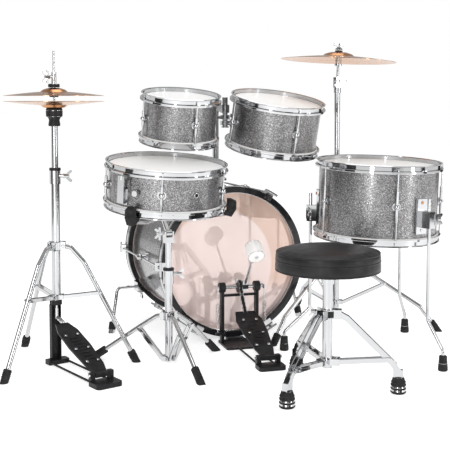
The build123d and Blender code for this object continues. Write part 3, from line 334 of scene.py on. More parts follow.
# dull the sheen of the dark pieces, so that they stay black under the white surround
for key in ("blackp", "blackm", "rubber", "hoop", "vinyl"):
    for node in M[key].node_tree.nodes:
        if node.type == "BSDF_PRINCIPLED":
            node.inputs["Specular IOR Level"].default_value *= 0.5
TIL = F(355, 34, 762)
M["hat_top"] = cymbal_mat("hat_top_bronze", tuple(F(*HAT, 716.4)), (0, 0, 1), 0.034)
M["hat_low"] = cymbal_mat("hat_low_bronze", tuple(F(*HAT, 701.0)), (0, 0, 1), 0.034)
M["crash"] = cymbal_mat("crash_bronze", tuple(TIL + cn * 0.062), tuple(cn), 0.047)

SLOT = {"flake_wrap": "flake", "chrome": "chrome", "head_film": "head", "bass_film": "bassfilm",
        "black_gloss": "hoop", "rubber": "rubber", "vinyl": "vinyl", "steel": "steel", "black_metal": "blackm"}
slot_of = {s["node"]: s["material_slot"] for s in frame["record"]["subparts"]}


def dress(node, key):
    me = NODES[node].data
    me.materials.clear()
    me.materials.append(M[key])
    for p in me.polygons:
        p.material_index = 0


for n in NODES:
    if slot_of.get(n) in SLOT:
        dress(n, SLOT[slot_of[n]])
dress("hihat_top_cymbal", "hat_top")
dress("hihat_bottom_cymbal", "hat_low")
dress("crash_cymbal", "crash")
dress("kick_frame", "blackm")


# ------------------------------------------------------------------ mesh helpers
def obj(name, me, mat, body, smooth=True):
    o = bpy.data.objects.new(name, me)
    bpy.context.scene.collection.objects.link(o)
    me.materials.clear()
    me.materials.append(M[mat])
    if smooth:
        for p in me.polygons:
            p.use_smooth = True
    if body:
        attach(o, body)
    return o


def basis(z, x=None):
    z = Vector(z).normalized()
    if x is None:
        x = Vector((1, 0, 0)) if abs(z.x) < 0.9 else Vector((0, 1, 0))
    x = Vector(x)
    x = (x - z * x.dot(z)).normalized()
    y = z.cross(x)
    return Matrix((x, y, z)).transposed().to_4x4()


def place(at, z=(0, 0, 1), x=None):
    return Matrix.Translation(at) @ basis(z, x)


def lathe(name, prof, mw, mat, body, seg=64, closed=False, fn=None):
    """Profile [(r, z)] in metres turned about z, then placed by mw."""
    me = bpy.data.meshes.new(name)
    vs, fs = [], []
    n = len(prof)
    for i in range(seg):
        a = 2 * math.pi * i / seg
        for r, z in prof:
            if fn:
                r, z = fn(r, z, a)
            vs.append(mw @ Vector((r * math.cos(a), r * math.sin(a), z)))
    for i in range(seg):
        j = (i + 1) % seg
        for k in range(n - 1 + (1 if closed else 0)):
            k2 = (k + 1) % n
            fs.append((i * n + k, j * n + k, j * n + k2, i * n + k2))
    me.from_pydata([tuple(v) for v in vs], [], fs)
    bm = bmesh.new(); bm.from_mesh(me)
    bmesh.ops.remove_doubles(bm, verts=bm.verts, dist=1e-6)
    bmesh.ops.dissolve_degenerate(bm, edges=bm.edges, dist=1e-7)
    bmesh.ops.recalc_face_normals(bm, faces=bm.faces)
    bm.to_mesh(me); bm.free()
    return obj(name, me, mat, body, True)


def ring(name, r, t, mw, mat, body, seg=64, m=12, fx=1.0):
    prof = [(r + t * math.cos(2 * math.pi * i / m), t * fx * math.sin(2 * math.pi * i / m)) for i in range(m)]
    return lathe(name, prof, mw, mat, body, seg, True)


def tube(name, pts, r, mat, body, cyclic=False, res=3, smoothp=False):
    cu = bpy.data.curves.new(name, "CURVE")
    cu.dimensions = "3D"
    sp = cu.splines.new("POLY")
    sp.points.add(len(pts) - 1)
    for p, q in zip(sp.points, pts):
        p.co = (*q, 1)
    sp.use_cyclic_u = cyclic
    cu.bevel_depth = r
    cu.bevel_resolution = res
    cu.use_fill_caps = True
    tmp = bpy.data.objects.new(name + "_c", cu)
    bpy.context.scene.collection.objects.link(tmp)
    bpy.context.view_layer.update()
    me = bpy.data.meshes.new_from_object(tmp.evaluated_get(bpy.context.evaluated_depsgraph_get()))
    me.name = name
    bpy.data.objects.remove(tmp)
    return obj(name, me, mat, body, True)


def bar(name, a, b, r, mat, body, bev=0.0006, seg=24):
    a, b = Vector(a), Vector(b)
    L = (b - a).length
    e = min(bev, r * 0.4, L * 0.4)
    return lathe(name, [(0, 0), (r - e, 0), (r, e), (r, L - e), (r - e, L), (0, L)], place(a, b - a), mat, body, seg)


def plate(name, outline, t, mw, mat, body, bev=0.0006):
    """Flat outline [(x, y)] in metres, thickness t about z = 0, edges rounded."""
    bm = bmesh.new()
    lo = [bm.verts.new((x, y, -t / 2)) for x, y in outline]
    hi = [bm.verts.new((x, y, t / 2)) for x, y in outline]
    n = len(outline)
    bm.faces.new(lo[::-1]); bm.faces.new(hi)
    for i in range(n):
        bm.faces.new((lo[i], lo[(i + 1) % n], hi[(i + 1) % n], hi[i]))
    bmesh.ops.bevel(bm, geom=[e for e in bm.edges if len(e.link_faces) == 2 and e.calc_face_angle(0) > 0.6],
                    offset=bev, segments=2, affect="EDGES", profile=0.5)
    bmesh.ops.recalc_face_normals(bm, faces=bm.faces)
    me = bpy.data.meshes.new(name)
    bm.to_mesh(me); bm.free()
    me.transform(mw)
    return obj(name, me, mat, body, False)


WING = [(-2.6, -3.5), (2.6, -3.5), (5.0, -1.5), (8.0, 2.0), (12.5, 6.5), (14.5, 10.0), (14.0, 13.0),
        (11.5, 14.0), (8.0, 12.5), (4.6, 8.0), (2.6, 5.5), (-2.6, 5.5), (-4.6, 8.0), (-8.0, 12.5),
        (-11.5, 14.0), (-14.0, 13.0), (-14.5, 10.0), (-12.5, 6.5), (-8.0, 2.0), (-5.0, -1.5)]


def wing(name, at, out, spread, size, mat, body):
    """Wing screw or wing nut: hub and two lobes; out is the screw's direction."""
    s = size / 1000.0
    out = Vector(out).normalized()
    spread = Vector(spread)
    spread = (spread - out * spread.dot(out)).normalized()
    # plate plane: x = spread, y = out
    z = spread.cross(out)
    mw = Matrix.Translation(at) @ Matrix((spread, out, z)).transposed().to_4x4()
    plate(name + "_wing", [(x * s, y * s) for x, y in WING], 3.2 * s, mw, mat, body, 0.0007)
    lathe(name + "_hub", [(0, 7.0 * s), (3.6 * s, 7.0 * s), (4.4 * s, 6.0 * s), (5.4 * s, -4.5 * s), (6.2 * s, -5.5 * s),
                          (6.2 * s, -7.0 * s), (0, -7.0 * s)], place(at, out), mat, body, 24)


# ------------------------------------------------------------------ throne cushion
TX, TY = 26.0, -538.0
lo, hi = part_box("throne_seat")
zt, zb = hi.z, lo.z
R = (hi.x - lo.x) / 2
seat_c = Vector(((lo.x + hi.x) / 2, (lo.y + hi.y) / 2, 0))


def seat_shape(r, z, a):
    # soft radial gathers where the cover turns over the edge
    k = max(0.0, 1 - abs(r - R * 0.93) / (R * 0.16))
    w = math.sin(a * 23 + 1.7 * math.sin(a * 5)) * 0.55 + math.sin(a * 41 + 2.0) * 0.3
    z2 = z + k * w * 0.0006
    r2 = r + k * w * 0.0004
    return r2, z2


prof = []
H = zt - zb
# crowned top from the centre to the piping
for i in range(22):
    t = i / 21
    r = R * 0.955 * t
    prof.append((r, zt - 0.0115 * t ** 2.6 - 0.0035 * max(0, t - 0.86) ** 1 * 6))
top_edge = prof[-1][1]
# side wall pulls in at the seams
side = [(0.972, -0.003), (0.985, -0.007), (0.992, -0.013), (0.986, -0.0185), (0.990, -0.024), (0.997, -0.032),
        (0.995, -0.040)]
for s, dz in side:
    prof.append((R * s, top_edge + dz))
zb2 = zb
prof += [(R * 0.985, zb2 + 0.0035), (R * 0.965, zb2 + 0.0008), (R * 0.90, zb2 + 0.0002), (0, zb2 + 0.0002)]
seat = lathe("throne_cushion", prof, Matrix.Translation(seat_c), "vinyl", "throne_seat", 144, False, seat_shape)
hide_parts("throne_seat")
# piping at the top edge, stitched seam below it, and the bottom welt
ring("throne_piping_top", R * 0.966, 0.0024, Matrix.Translation(seat_c + Vector((0, 0, top_edge - 0.0012))), "vinyl", "throne_seat", 144)
ring("throne_piping_side", R * 0.985, 0.0016, Matrix.Translation(seat_c + Vector((0, 0, top_edge - 0.0188))), "vinyl", "throne_seat", 144)
ring("throne_welt_low", R * 0.984, 0.0018, Matrix.Translation(seat_c + Vector((0, 0, zb + 0.0035))), "vinyl", "throne_seat", 144)
# mounting plate bolts below
for i in range(4):
    a = math.radians(45 + 90 * i)
    p = seat_c + Vector((0.045 * math.cos(a), 0.045 * math.sin(a), zb - 0.0045))
    bar("seat_bolt_%d" % i, p, p + Vector((0, 0, 0.004)), 0.0045, "steel", "throne_post", 0.001, 16)

# ------------------------------------------------------------------ wing screws on the stands
screw = [("snare_height", F(-258 + 27, -170 - 10, 243), (16, -6, 0), "kit", 1.0),
         ("hihat_height", F(HAT[0] + 27, HAT[1] - 15, 504), (17, -9, 0), "kit", 1.1),
         ("cymbal_height", F(355 + 27, 34 - 10, 438), (16, -6, 0), "kit", 1.0),
         ("throne_lock", F(TX - 26, TY + 24, 192), (-13, 13, 0), "throne_collar", 0.95)]
for n, at, out, body, s in screw:
    wing(n, at, out, (0, 0, 1), s, "chrome", body)
wing("snare_tilt_lock", F(-258 - 25, -170, 352), (-1, 0, 0), (0, 0, 1), 0.95, "chrome", "snare_riser")
wing("cymbal_tilt_lock", F(355, 34 - 21, 762), (0, -1, 0), (1, 0, 0), 0.95, "chrome", "cymbal_riser")
top = TIL + cn * 0.1065
wing("crash_wing_nut", top, cn, (1, 0, 0), 1.15, "chrome", "cymbal_tilter")
wing("clutch_wing", F(HAT[0] - 19, HAT[1] - 9, 766), (-19, -9, 0), (0, 0, 1), 1.0, "chrome", "hihat_rod")

# felts at the cymbals
def felt(name, at, axis, r, h, mat, body, ri=0.0045):
    e = 0.0012
    return lathe(name, [(ri, 0), (r - e, 0), (r, e), (r, h - e), (r - e, h), (ri, h)], place(at, axis), mat, body, 40, True,
                 lambda rr, z, a: (rr + 0.0002 * math.sin(a * 17), z))


felt("hat_felt_top", F(*HAT, 737.9), (0, 0, 1), 0.0150, 0.009, "felt_b", "hihat_rod")
felt("hat_felt_under", F(*HAT, 712.8), (0, 0, 1), 0.0118, 0.0042, "felt_b", "hihat_rod")
felt("hat_seat_felt", F(*HAT, 676.6), (0, 0, 1), 0.0215, 0.0055, "felt_b", "hihat_riser", 0.0056)
felt("crash_felt_top", TIL + cn * 0.0893, cn, 0.0118, 0.0036, "felt_b", "crash", 0.0058)
felt("crash_felt_low", TIL + cn * 0.0752, cn, 0.0125, 0.0085, "felt_b", "cymbal_tilter", 0.0046)
felt("crash_cap", TIL + cn * 0.0954, cn, 0.0108, 0.0036, "blackp", "cymbal_tilter", 0.004)
# black seat cup and sleeve under the hi-hats
lathe("hat_seat_cup", [(0.0094, 0.6355), (0.0150, 0.6362), (0.0158, 0.6400), (0.0140, 0.6520), (0.0165, 0.6585), (0.0218, 0.6620),
                       (0.0222, 0.6760), (0.0200, 0.6770), (0.0108, 0.6770)], Matrix.Translation(F(*HAT, 0)), "blackp", "hihat_riser", 48)
for i in range(6):
    ring("clutch_knurl_%d" % i, 0.0066, 0.0006, Matrix.Translation(F(*HAT, 751 + 4 * i)), "steel", "hihat_rod", 32, 8)


# ------------------------------------------------------------------ memory clamps and sleeves
def sleeve(name, x, y, z0, z1, r0, r1, mat, body, seg=40):
    h = (z1 - z0) / 1000.0
    e = 0.0012
    r0, r1 = r0 / 1000.0, r1 / 1000.0
    return lathe(name, [(r0, 0), (r1 - e, 0), (r1, e), (r1, h - e), (r1 - e, h), (r0, h)],
                 Matrix.Translation(F(x, y, z0)), mat, body, seg, True)


sleeve("snare_clamp_bush", -258, -170, 251, 258.6, 8.3, 14.8, "blackp", "kit")
sleeve("hat_clamp_bush", HAT[0], HAT[1], 518, 525.6, 9.3, 15.3, "blackp", "kit")
sleeve("cymbal_clamp_bush", 355, 34, 446, 453.6, 8.9, 14.8, "blackp", "kit")
sleeve("throne_collar_band", TX, TY, 180.4, 197.6, 12.7, 19.2, "blackp", "throne_collar")
for n, x, y, zz, r1, zk in (("snare", -258, -170, 129, 15.4, 22), ("hat", HAT[0], HAT[1], 317, 16.9, 24), ("cym", 355, 34, 215, 15.9, 24)):
    ring(n + "_collar_rim_a", r1 / 1000.0 - 0.0006, 0.0012, Matrix.Translation(F(x, y, zz - zk / 2 + 1.4)), "chrome", "kit", 48, 8)
    ring(n + "_collar_rim_b", r1 / 1000.0 - 0.0006, 0.0012, Matrix.Translation(F(x, y, zz + zk / 2 - 1.4)), "chrome", "kit", 48, 8)


# ------------------------------------------------------------------ tripod rivets and foot rings
def leg_details(tag, c, angles, piv, joint, foot, r_leg, fr, body_of_leg, rings=4, rod_r=0.0042):
    for i, a in enumerate(angles):
        ca, sa = math.cos(math.radians(a)), math.sin(math.radians(a))
        t = Vector((-sa, ca, 0))
        for k, (rr, z) in enumerate((piv, joint)):
            p = F(c[0] + rr * ca, c[1] + rr * sa, z)
            body = body_of_leg(i, k)
            w = 0.0118 if k == 0 else 0.0104
            bar("%s_rivet_%d_%d" % (tag, i, k), p - t * w, p + t * w, rod_r, "chrome", body, 0.0016, 20)
        # ribs round the rubber foot
        (x1, z1), (x2, z2) = foot
        d = math.hypot(x2 - x1, z2 - z1)
        ux, uz = (x2 - x1) / d, (z2 - z1) / d
        ax = Vector((ux * ca, ux * sa, uz))
        for k in range(rings):
            s = -10 + 5.2 * k
            p = F(c[0] + (x2 + ux * s) * ca, c[1] + (x2 + ux * s) * sa, z2 + uz * s)
            if p.z - fr * math.sqrt(max(0, 1 - uz * uz)) < 0.0015:
                continue
            ring("%s_foot_rib_%d_%d" % (tag, i, k), fr, 0.0011, place(p, ax), "rubber", "kit", 40, 8)


HAT_LEGS, SNARE_LEGS, CYM_LEGS, THR_LEGS = [-140, 104, -19], [-86, 24, 146], [-33, -153, 87], [-30, -150, 90]
kitb = lambda i, k: "kit"
leg_details("hat", HAT, HAT_LEGS, (19.5, 317.5), (116, 190), ((73, 274), (203, 18)), 6.4, 0.0106, kitb)
leg_details("cym", CYM, CYM_LEGS, (19, 216), (150, 141), ((257, 74), (299, 18)), 6.4, 0.0106, kitb)

# ------------------------------------------------------------------ kick pedal
PH, PT = (0.0, -40.0), math.radians(-5.4)


def KP(x, y, z):
    return F(PH[0] + x * math.cos(PT) - y * math.sin(PT), PH[1] + x * math.sin(PT) + y * math.cos(PT), z)


kx = (KP(1, 0, 0) - KP(0, 0, 0)).normalized()
ky = (KP(0, 1, 0) - KP(0, 0, 0)).normalized()
# coil springs and their hooks
for s in (-1, 1):
    pts = []
    turns, n = 15, 15 * 16
    c0 = KP(s * 70, -19, 0)
    for i in range(n + 1):
        a = 2 * math.pi * turns * i / n
        z = 0.062 + (0.122 - 0.062) * i / n
        pts.append(tuple(c0 + kx * (0.0052 * math.cos(a)) + ky * (0.0052 * math.sin(a)) + Vector((0, 0, z))))
    sp = tube("kick_spring_%d" % s, pts, 0.00105, "steel", "kit", False, 2)
    r1 = tube("kick_spring_hook_low_%d" % s, [tuple(c0 + Vector((0, 0, 0.0383))), tuple(c0 + Vector((0, 0, 0.0625)))], 0.0012, "steel", "kit")
    r2 = tube("kick_spring_hook_top_%d" % s, [tuple(c0 + Vector((0, 0, 0.1215))), tuple(c0 + Vector((0, 0, 0.159)))], 0.0012, "steel", "kit")
    if s == 1:
        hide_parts("kick_springs")
# hi-hat: black sleeve under the tripod hub
sleeve("hat_hub_sleeve", HAT[0], HAT[1], 158.8, 174.2, 11.6, 14.6, "blackp", "kit")
# felt beater head
B = math.radians(39.0)
bs, bc = math.sin(B), math.cos(B)
hc = KP(16, -150 * bs, 165 + 150 * bc)
hd = (ky * bc + Vector((0, 0, bs))).normalized()
lathe("kick_beater_felt", [(0, -0.0213), (0.0215, -0.0213), (0.0240, -0.0200), (0.0245, -0.0175), (0.0245, 0.0175),
                           (0.0240, 0.0200), (0.0215, 0.0213), (0, 0.0213)], place(hc, hd), "felt_w", "kick_beater", 56, False,
      lambda r, z, a: (r + 0.00025 * math.sin(a * 13), z))
bar("kick_beater_bolt", hc + hd * 0.0205, hc + hd * 0.0226, 0.006, "steel", "kick_beater", 0.001, 24)
bar("kick_beater_bolt_back", hc - hd * 0.0205, hc - hd * 0.0232, 0.006, "steel", "kick_beater", 0.001, 24)
bar("kick_hub_screw", KP(-7, 0, 165) + Vector((0, 0, 0.012)), KP(-7, 0, 165) + Vector((0, 0, 0.0232)), 0.0035, "steel", "kick_beater")
for s in (-1, 1):
    bar("kick_bearing_%d" % s, KP(s * 61.2, 0, 165), KP(s * 43.4, 0, 165), 0.0146, "blackp", "kit", 0.0015, 40)


bar("kick_cam_cover", KP(-5.6, 0, 165), KP(5.6, 0, 165), 0.0192, "blackp", "kick_beater", 0.002, 48)
bar("kick_hub_cover", KP(6.0, 0, 165), KP(25, 0, 165), 0.0118, "blackp", "kick_beater", 0.0015, 32)


def chain(name, pts, body, pitch=0.0068, w=0.0032):
    """Roller chain along pts, cut into pitch-long links returned as pairs of end points."""
    P = [Vector(p) for p in pts]
    L = [0.0]
    for a, b in zip(P, P[1:]):
        L.append(L[-1] + (b - a).length)

    def at(s):
        for i in range(len(P) - 1):
            if s <= L[i + 1]:
                t = (s - L[i]) / (L[i + 1] - L[i])
                return P[i].lerp(P[i + 1], t)
        return P[-1]
    n = int(L[-1] / pitch)
    return [(at(i * pitch), at(min(L[-1], (i + 1) * pitch))) for i in range(n)]


def chain_build(tag, pts, side, body):
    for i, (a, b) in enumerate(chain(tag, pts, body)):
        d = (b - a).normalized()
        s = Vector(side).normalized()
        up = s.cross(d)
        for q in (-1, 1):
            off = (0.0044 if i % 2 else 0.0054) * q
            c = (a + b) / 2 + s * off
            mw = Matrix.Translation(c) @ Matrix((d, up, s)).transposed().to_4x4()
            h = (b - a).length / 2 + 0.0014
            plate("%s_link_%d_%d" % (tag, i, q), [(-h, -0.0016), (-h * 0.4, -0.0024), (h * 0.4, -0.0024), (h, -0.0016),
                  (h, 0.0016), (h * 0.4, 0.0024), (-h * 0.4, 0.0024), (-h, 0.0016)], 0.0009, mw, "steel", body, 0.0002)
        bar("%s_roller_%d" % (tag, i), a - s * 0.0062, a + s * 0.0062, 0.0019, "steel", body, 0.0003, 14)


chain_build("kick_chain", [KP(0, -59.5, 99.5), KP(0, -22.0, 147), KP(0, -22.0, 160)], kx, "kick_pedal")
print("scene part one ok")

# footboards: bolts and ribs on each
def board(tag, heel, toe, side, half, body, zoff, mat="chrome", ridge="blackp"):
    heel, toe = Vector(heel), Vector(toe)
    d = (toe - heel)
    L = d.length
    d.normalize()
    s = Vector(side).normalized()
    up = s.cross(d)
    if up.z < 0:
        up = -up
    for i, (t, w) in enumerate(((0.22, 0.55), (0.22, -0.55), (0.50, 0.62), (0.50, -0.62), (0.80, 0.60), (0.80, -0.60))):
        c = heel + d * (L * t) + s * (half * w) + up * zoff
        bar("%s_bolt_%d" % (tag, i), c, c + up * 0.0022, 0.0042, mat, body, 0.0009, 20)
    for i in range(8):
        t = 0.28 + 0.065 * i
        c = heel + d * (L * t) + up * (zoff + 0.0006)
        bar("%s_rib_%d" % (tag, i), c - s * half * 0.42, c + s * half * 0.42, 0.0011, ridge, body, 0.0004, 10)


fa = math.atan2(104 - 27, 237 - 44)
board("kick_board", KP(0, -258, 27), KP(0, -60, 99.5), kx, 0.031, "kick_pedal", 0.0062)
HTR = math.radians(15.3)


def HPt(x, y, z):
    return F(HAT[0] + x * math.cos(HTR) - y * math.sin(HTR), HAT[1] + x * math.sin(HTR) + y * math.cos(HTR), z)


hx = (HPt(1, 0, 0) - HPt(0, 0, 0)).normalized()
board("hat_board", HPt(0, -234, 27), HPt(0, -44, 103), hx, 0.029, "hihat_pedal", 0.0057)
chain_build("hat_chain", [HPt(0, -34, 117), HPt(0, -3, 126)], hx, "hihat_rod")
for s in (-1, 1):
    bar("hat_axle_end_%d" % s, HPt(s * 32, -237, 25), HPt(s * 36.5, -237, 25), 0.0046, "steel", "kit", 0.001, 20)
    bar("kick_axle_end_%d" % s, KP(s * 33, -261, 25), KP(s * 38, -261, 25), 0.0046, "steel", "kit", 0.001, 20)

# ------------------------------------------------------------------ drum shell details
DR = {"small_tom": (102.0, 114.0, (-179, -50, 723), (0.007, -0.175, 0.9845), "small_tom", 62.0),
      "mid_tom": (127.0, 127.0, (111, -65, 710), (0.054, -0.209, 0.9764), "mid_tom", 48.0),
      "floor_tom": (165.0, 190.0, (329, -262, 538), (0.016, -0.037, 0.9992), "kit", 15.0),
      "snare": (152.4, 99.0, (-262, -172, 544), (0.0185, -0.112, 0.9935), "snare_drum", -77.6)}


def drum_frame(c, n, z, a):
    n = Vector(n).normalized()
    x = (Vector((1, 0, 0)) - n * n.x).normalized()
    y = n.cross(x)
    r = math.radians(a)
    d = x * math.cos(r) + y * math.sin(r)
    return F(*c) + n * (z / 1000.0), d, n


for tag, (R_, D_, c, n, body, va) in DR.items():
    mid, d, nn = drum_frame(c, n, -(D_ + 26) / 2, va)
    at = mid + d * (R_ / 1000.0 + (0.0018 if tag == "snare" else 0.0002))
    if True:
        ring(tag + "_vent", 0.0058, 0.0013, place(at, d), "chrome", body, 32, 10)
        # near-black disc on the shell: painted shade standing in for the dark inside of the vent hole
        lathe(tag + "_vent_hole", [(0, 0.0004), (0.0050, 0.0004), (0.0050, 0.0)], place(at, d), "hole", body, 24)
    # collar ring where the head meets the rim
    for k, zz in enumerate((-13.0 + 0.3, -(D_ + 26) + 13.0 - 0.3)):
        p, _, _ = drum_frame(c, n, zz, 0)
        ring("%s_flesh_hoop_%d" % (tag, k), (R_ + 2.0) / 1000.0, 0.0008, place(p, nn), "steel", body, 96, 8)
    # edge of the wrap's overlap, top to bottom
    sa_ = -42.6 if tag == "floor_tom" else 80.0
    q, d2, _ = drum_frame(c, n, -14 - 6, sa_)
    tops = q + d2 * (R_ / 1000.0 + 0.0001)
    bots = drum_frame(c, n, -(D_ + 26) + 20, sa_)[0] + d2 * (R_ / 1000.0 + 0.0001)
    bar(tag + "_wrap_seam", tops, bots, 0.0005, "hole", body, 0.0001, 8)

# snare wires under the bottom head
c, n = DR["snare"][2], DR["snare"][3]
base, dx, nn = drum_frame(c, n, -(99 + 26) + 13 - 2.9, -150)
dy = nn.cross(dx)
for i in range(16):
    o_ = dy * (0.001 * (-17 + 34 * i / 15.0))
    pts = []
    for k in range(64):
        u = -0.117 + 0.234 * k / 63.0
        pts.append(tuple(base + dx * u + o_ + nn * (0.0003 * math.sin(k * 1.9))))
    tube("snare_wire_%d" % i, pts, 0.0006, "steel", "snare_drum", False, 1)

# bass drum: batter head collar, badge and vent
BZ = 230.0
ring("bass_collar_batter", 0.2040, 0.0012, place(F(0, 2.0 + 8, BZ), (0, 1, 0)), "steel", "kit", 128, 8)
lathe("bass_badge", [(0, 0.0016), (0.0125, 0.0014), (0.0135, 0.0004), (0.0135, 0)],
      place(F(203.0 * math.cos(math.radians(62)), 120, BZ + 203.0 * math.sin(math.radians(62))),
            (math.cos(math.radians(62)), 0, math.sin(math.radians(62)))), "chrome", "kit", 40)
ring("bass_vent", 0.0070, 0.0014, place(F(203.4 * math.cos(math.radians(118)), 150, BZ + 203.4 * math.sin(math.radians(118))),
                                        (math.cos(math.radians(118)), 0, math.sin(math.radians(118)))), "chrome", "kit", 32, 10)
# floor tom bracket bolts
for a in (-77.0, 158.0, 39.5):
    for zz in (-172.0, -98.0):
        p, d, _ = drum_frame((329, -262, 538), (0.016, -0.037, 0.9992), zz, a)
        q = p + d * 0.1708
        bar("floor_bracket_bolt_%d_%d" % (int(a), int(-zz)), q, q + d * 0.0022, 0.0042, "copper" if zz > -120 else "steel", "kit", 0.0008, 18)
    ca, sa = math.cos(math.radians(a)), math.sin(math.radians(a))
    wing("floor_leg_wing_%d" % int(a), F(329 + 194 * ca - 31 * sa, -262 + 194 * sa + 31 * ca, 390), (-sa, ca, 0), (0, 0, 1), 1.05, "chrome", "kit")


# ------------------------------------------------------------------ rubber feet
def rubber_foot(name, at, prof, body, mat="rubber"):
    return lathe(name, [(r / 1000.0, z / 1000.0) for r, z in prof], Matrix.Translation(at), mat, body, 48)


FLOOR_LEG = {"front": (-77.0, 246.0), "left": (158.0, 262.0), "back": (39.5, 243.0)}
for k, (a, rf) in FLOOR_LEG.items():
    ca, sa = math.cos(math.radians(a)), math.sin(math.radians(a))
    rubber_foot("floor_foot_" + k, F(329 + rf * ca, -262 + rf * sa, 0),
                [(0, 0.1), (11.4, 0.1), (12.9, 3), (12.4, 8), (12.9, 10), (12.0, 13), (12.3, 16), (11.2, 20), (11.4, 23),
                 (10.6, 30), (10.5, 38.4), (8.4, 40.5), (4.9, 40.6)], "floor_leg_" + k)
for k, a in (("right", -30), ("left", -150), ("front", 90)):
    ca, sa = math.cos(math.radians(a)), math.sin(math.radians(a))
    pr = [(0, 0.1), (15.8, 0.1), (18.8, 3.0), (19.4, 5.5), (17.4, 7.2), (15.6, 8.4), (15.8, 9.6), (18.6, 11.2), (19.2, 14.0), (17.6, 15.8),
          (16.8, 17.0), (17.0, 18.4), (18.6, 20.0), (18.8, 22.2), (16.9, 24.2), (16.6, 25.4), (17.6, 27.0), (17.8, 29.2),
          (16.2, 31.2), (15.0, 33.2), (15.0, 35.0), (13.6, 39.4), (10.5, 40.4), (7.4, 40.5)]
    rubber_foot("throne_foot_" + k, F(TX + 171 * ca, TY + 171 * sa, 0), pr, "throne_leg_" + k)
for s in (-1, 1):
    a0 = F(s * 313, 213, 11.9)
    d0 = (F(s * 290, 232, 132) - F(s * 313, 213, 12))
    tip = a0 + d0 * 0.17
    low = a0 - d0 * 0.02
    lathe("spur_tip_%d" % s, [(0.0051, 0.0), (0.0098, 0.0006), (0.0110, 0.0022), (0.0110, (tip - low).length)],
          place(tip + (tip - low).normalized() * 0.0006, low - tip), "rubber", "spur_left" if s < 0 else "spur_right", 40)

# basket grips in rubber round the ends of the three arms
SH = 125.0
c_s, n_s = DR["snare"][2], Vector(DR["snare"][3]).normalized()
for i, a in enumerate((-136.6, -16.6, 103.4)):
    p0, dx_, nn_ = drum_frame(c_s, tuple(n_s), 0, a)
    prof2 = [(149.6, -SH - 2.8), (166.1, -SH - 2.8), (166.1, -SH + 30.4), (176.2, -SH + 30.4), (190.4, -SH + 24.3),
             (191.4, -SH + 3.9), (179.3, -SH - 17.4), (159.8, -SH - 12.9), (149.6, -SH - 9.4)]
    mw = Matrix.Translation(p0) @ Matrix((dx_, nn_, dx_.cross(nn_))).transposed().to_4x4()
    plate("basket_grip_%d" % i, [(x / 1000.0, y / 1000.0) for x, y in prof2], 0.0188, mw, "rubber", "snare_drum", 0.0014)
    for k in range(4):
        rr_ = 0.1912 - 0.0005 * k
        zz_ = (-SH + 6.5 + 4.2 * k) / 1000.0
        q = p0 + dx_ * (rr_ - 0.0004 * k) + nn_ * zz_
        t_ = dx_.cross(nn_)
        bar("basket_grip_rib_%d_%d" % (i, k), q - t_ * 0.0078, q + t_ * 0.0078, 0.0008, "rubber", "snare_drum", 0.0002, 10)

print("pieces placed")

# ------------------------------------------------------------------ smooth the CAD pieces' look
for n, o in NODES.items():
    if o.hide_render:
        continue
    for p in o.data.polygons:
        p.use_smooth = True
    try:
        bpy.context.view_layer.objects.active = o
        o.data.set_sharp_from_angle(angle=math.radians(28))
    except Exception as e:
        pass
for o in bpy.data.objects:
    if o.type == "MESH" and "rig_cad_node" not in o and o.data.polygons:
        try:
            o.data.set_sharp_from_angle(angle=math.radians(42))
        except Exception:
            pass

# ------------------------------------------------------------------ stage
fl = bpy.data.meshes.new("floor")
s = 40.0
fl.from_pydata([(-s, -s, 0), (s, -s, 0), (s, s, 0), (-s, s, 0)], [], [(0, 1, 2, 3)])
floor = bpy.data.objects.new("floor", fl)
bpy.context.scene.collection.objects.link(floor)
fm, nt, b, co = new_mat("floor_white")
nt.links.new(ramp(nt, noise(nt, co, 1.3, 3), [(0.3, (0.90, 0.90, 0.90)), (0.7, (0.93, 0.93, 0.93))]), b.inputs["Base Color"])
setv(b, Roughness=0.6, Emission_Strength=0.56)
b.inputs["Emission Color"].default_value = (1, 1, 1, 1)
fl.materials.append(fm)
floor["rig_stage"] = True

world = bpy.data.worlds.new("w")
bpy.context.scene.world = world
world.use_nodes = True
wn = world.node_tree
wn.nodes.clear()
wo = wn.nodes.new("ShaderNodeOutputWorld")
bg = wn.nodes.new("ShaderNodeBackground")
wn.links.new(bg.outputs[0], wo.inputs[0])
bg.inputs[0].default_value = (1, 1, 1, 1)
lp = wn.nodes.new("ShaderNodeLightPath")
mr = wn.nodes.new("ShaderNodeMapRange")
mr.inputs[3].default_value, mr.inputs[4].default_value = 0.50, 1.0
wn.links.new(lp.outputs["Is Camera Ray"], mr.inputs[0])
wn.links.new(mr.outputs[0], bg.inputs[1])


def light(name, loc, target, size, sy, power, col=(1, 1, 1)):
    ld = bpy.data.lights.new(name, "AREA")
    ld.shape = "RECTANGLE"
    ld.size, ld.size_y = size, sy
    ld.energy = power
    ld.color = col
    o = bpy.data.objects.new(name, ld)
    bpy.context.scene.collection.objects.link(o)
    o.location = loc
    o.rotation_euler = (Vector(target) - Vector(loc)).to_track_quat("-Z", "Y").to_euler()
    return o


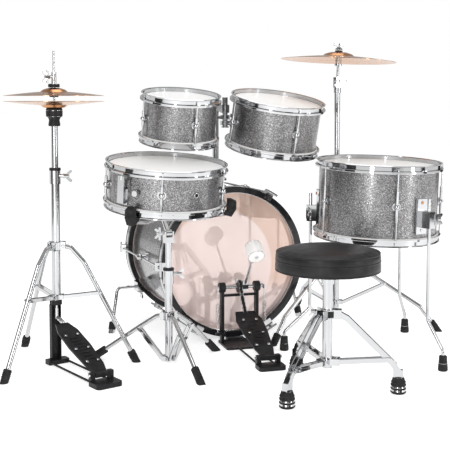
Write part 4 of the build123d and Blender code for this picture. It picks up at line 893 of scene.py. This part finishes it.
light("key", (-2.6, -2.4, 2.7), (0, 0, 0.4), 1.3, 1.3, 42)
light("fill", (2.9, -1.6, 1.6), (0, 0, 0.4), 0.7, 2.2, 20)
light("strip_a", (-2.05, -2.75, 0.95), (0.1, 0, 0.45), 0.34, 2.2, 26)
light("strip_b", (2.1, -2.9, 0.95), (0.1, 0, 0.45), 0.30, 2.2, 22)
light("top", (0.2, 0.3, 3.2), (0, 0, 0.3), 1.8, 1.8, 26)
# dark flags outside the picture, for the metal to mirror
dm, nt, b, co = new_mat("flag_dark")
nt.links.new(ramp(nt, noise(nt, co, 2.0, 2), [(0.3, (0.015, 0.015, 0.016)), (0.7, (0.03, 0.03, 0.03))]), b.inputs["Base Color"])
setv(b, Roughness=0.9)


def flag(name, loc, w, h, yaw):
    me = bpy.data.meshes.new(name)
    me.from_pydata([(-w / 2, 0, 0), (w / 2, 0, 0), (w / 2, 0, h), (-w / 2, 0, h)], [], [(0, 1, 2, 3)])
    o = bpy.data.objects.new(name, me)
    bpy.context.scene.collection.objects.link(o)
    o.location = loc
    o.rotation_euler = (0, 0, math.radians(yaw))
    me.materials.append(dm)
    o.visible_camera = False
    o.visible_shadow = False
    o.visible_diffuse = False
    o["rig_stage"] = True
    return o


flag("flag_left", (-3.4, -0.4, 0.0), 2.0, 3.6, 82)
flag("flag_back_left", (-2.6, -3.6, 0.0), 0.7, 3.6, 36)
flag("flag_back_right", (0.6, -4.2, 0.0), 1.6, 3.6, -8)
flag("flag_right", (3.4, -2.4, 0.0), 1.8, 3.6, -60)
flag("flag_far_right", (4.0, 1.6, 0.0), 1.6, 3.6, -100)

cd = bpy.data.cameras.new("cam")
cam = bpy.data.objects.new("cam", cd)
bpy.context.scene.collection.objects.link(cam)
cam.location = F(-1051.1, -2582.5, 710)
AZ = math.radians(21.6)
dirv = Vector((math.sin(AZ) * math.cos(math.radians(4)), math.cos(AZ) * math.cos(math.radians(4)), -math.sin(math.radians(4))))
cam.rotation_euler = dirv.to_track_quat("-Z", "Y").to_euler()
cd.lens = 76.8
cd.sensor_width = 36
cd.shift_y = -0.133
cd.clip_end = 60
bpy.context.scene.camera = cam
bpy.context.scene.view_settings.view_transform = "Standard"

lo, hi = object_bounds()
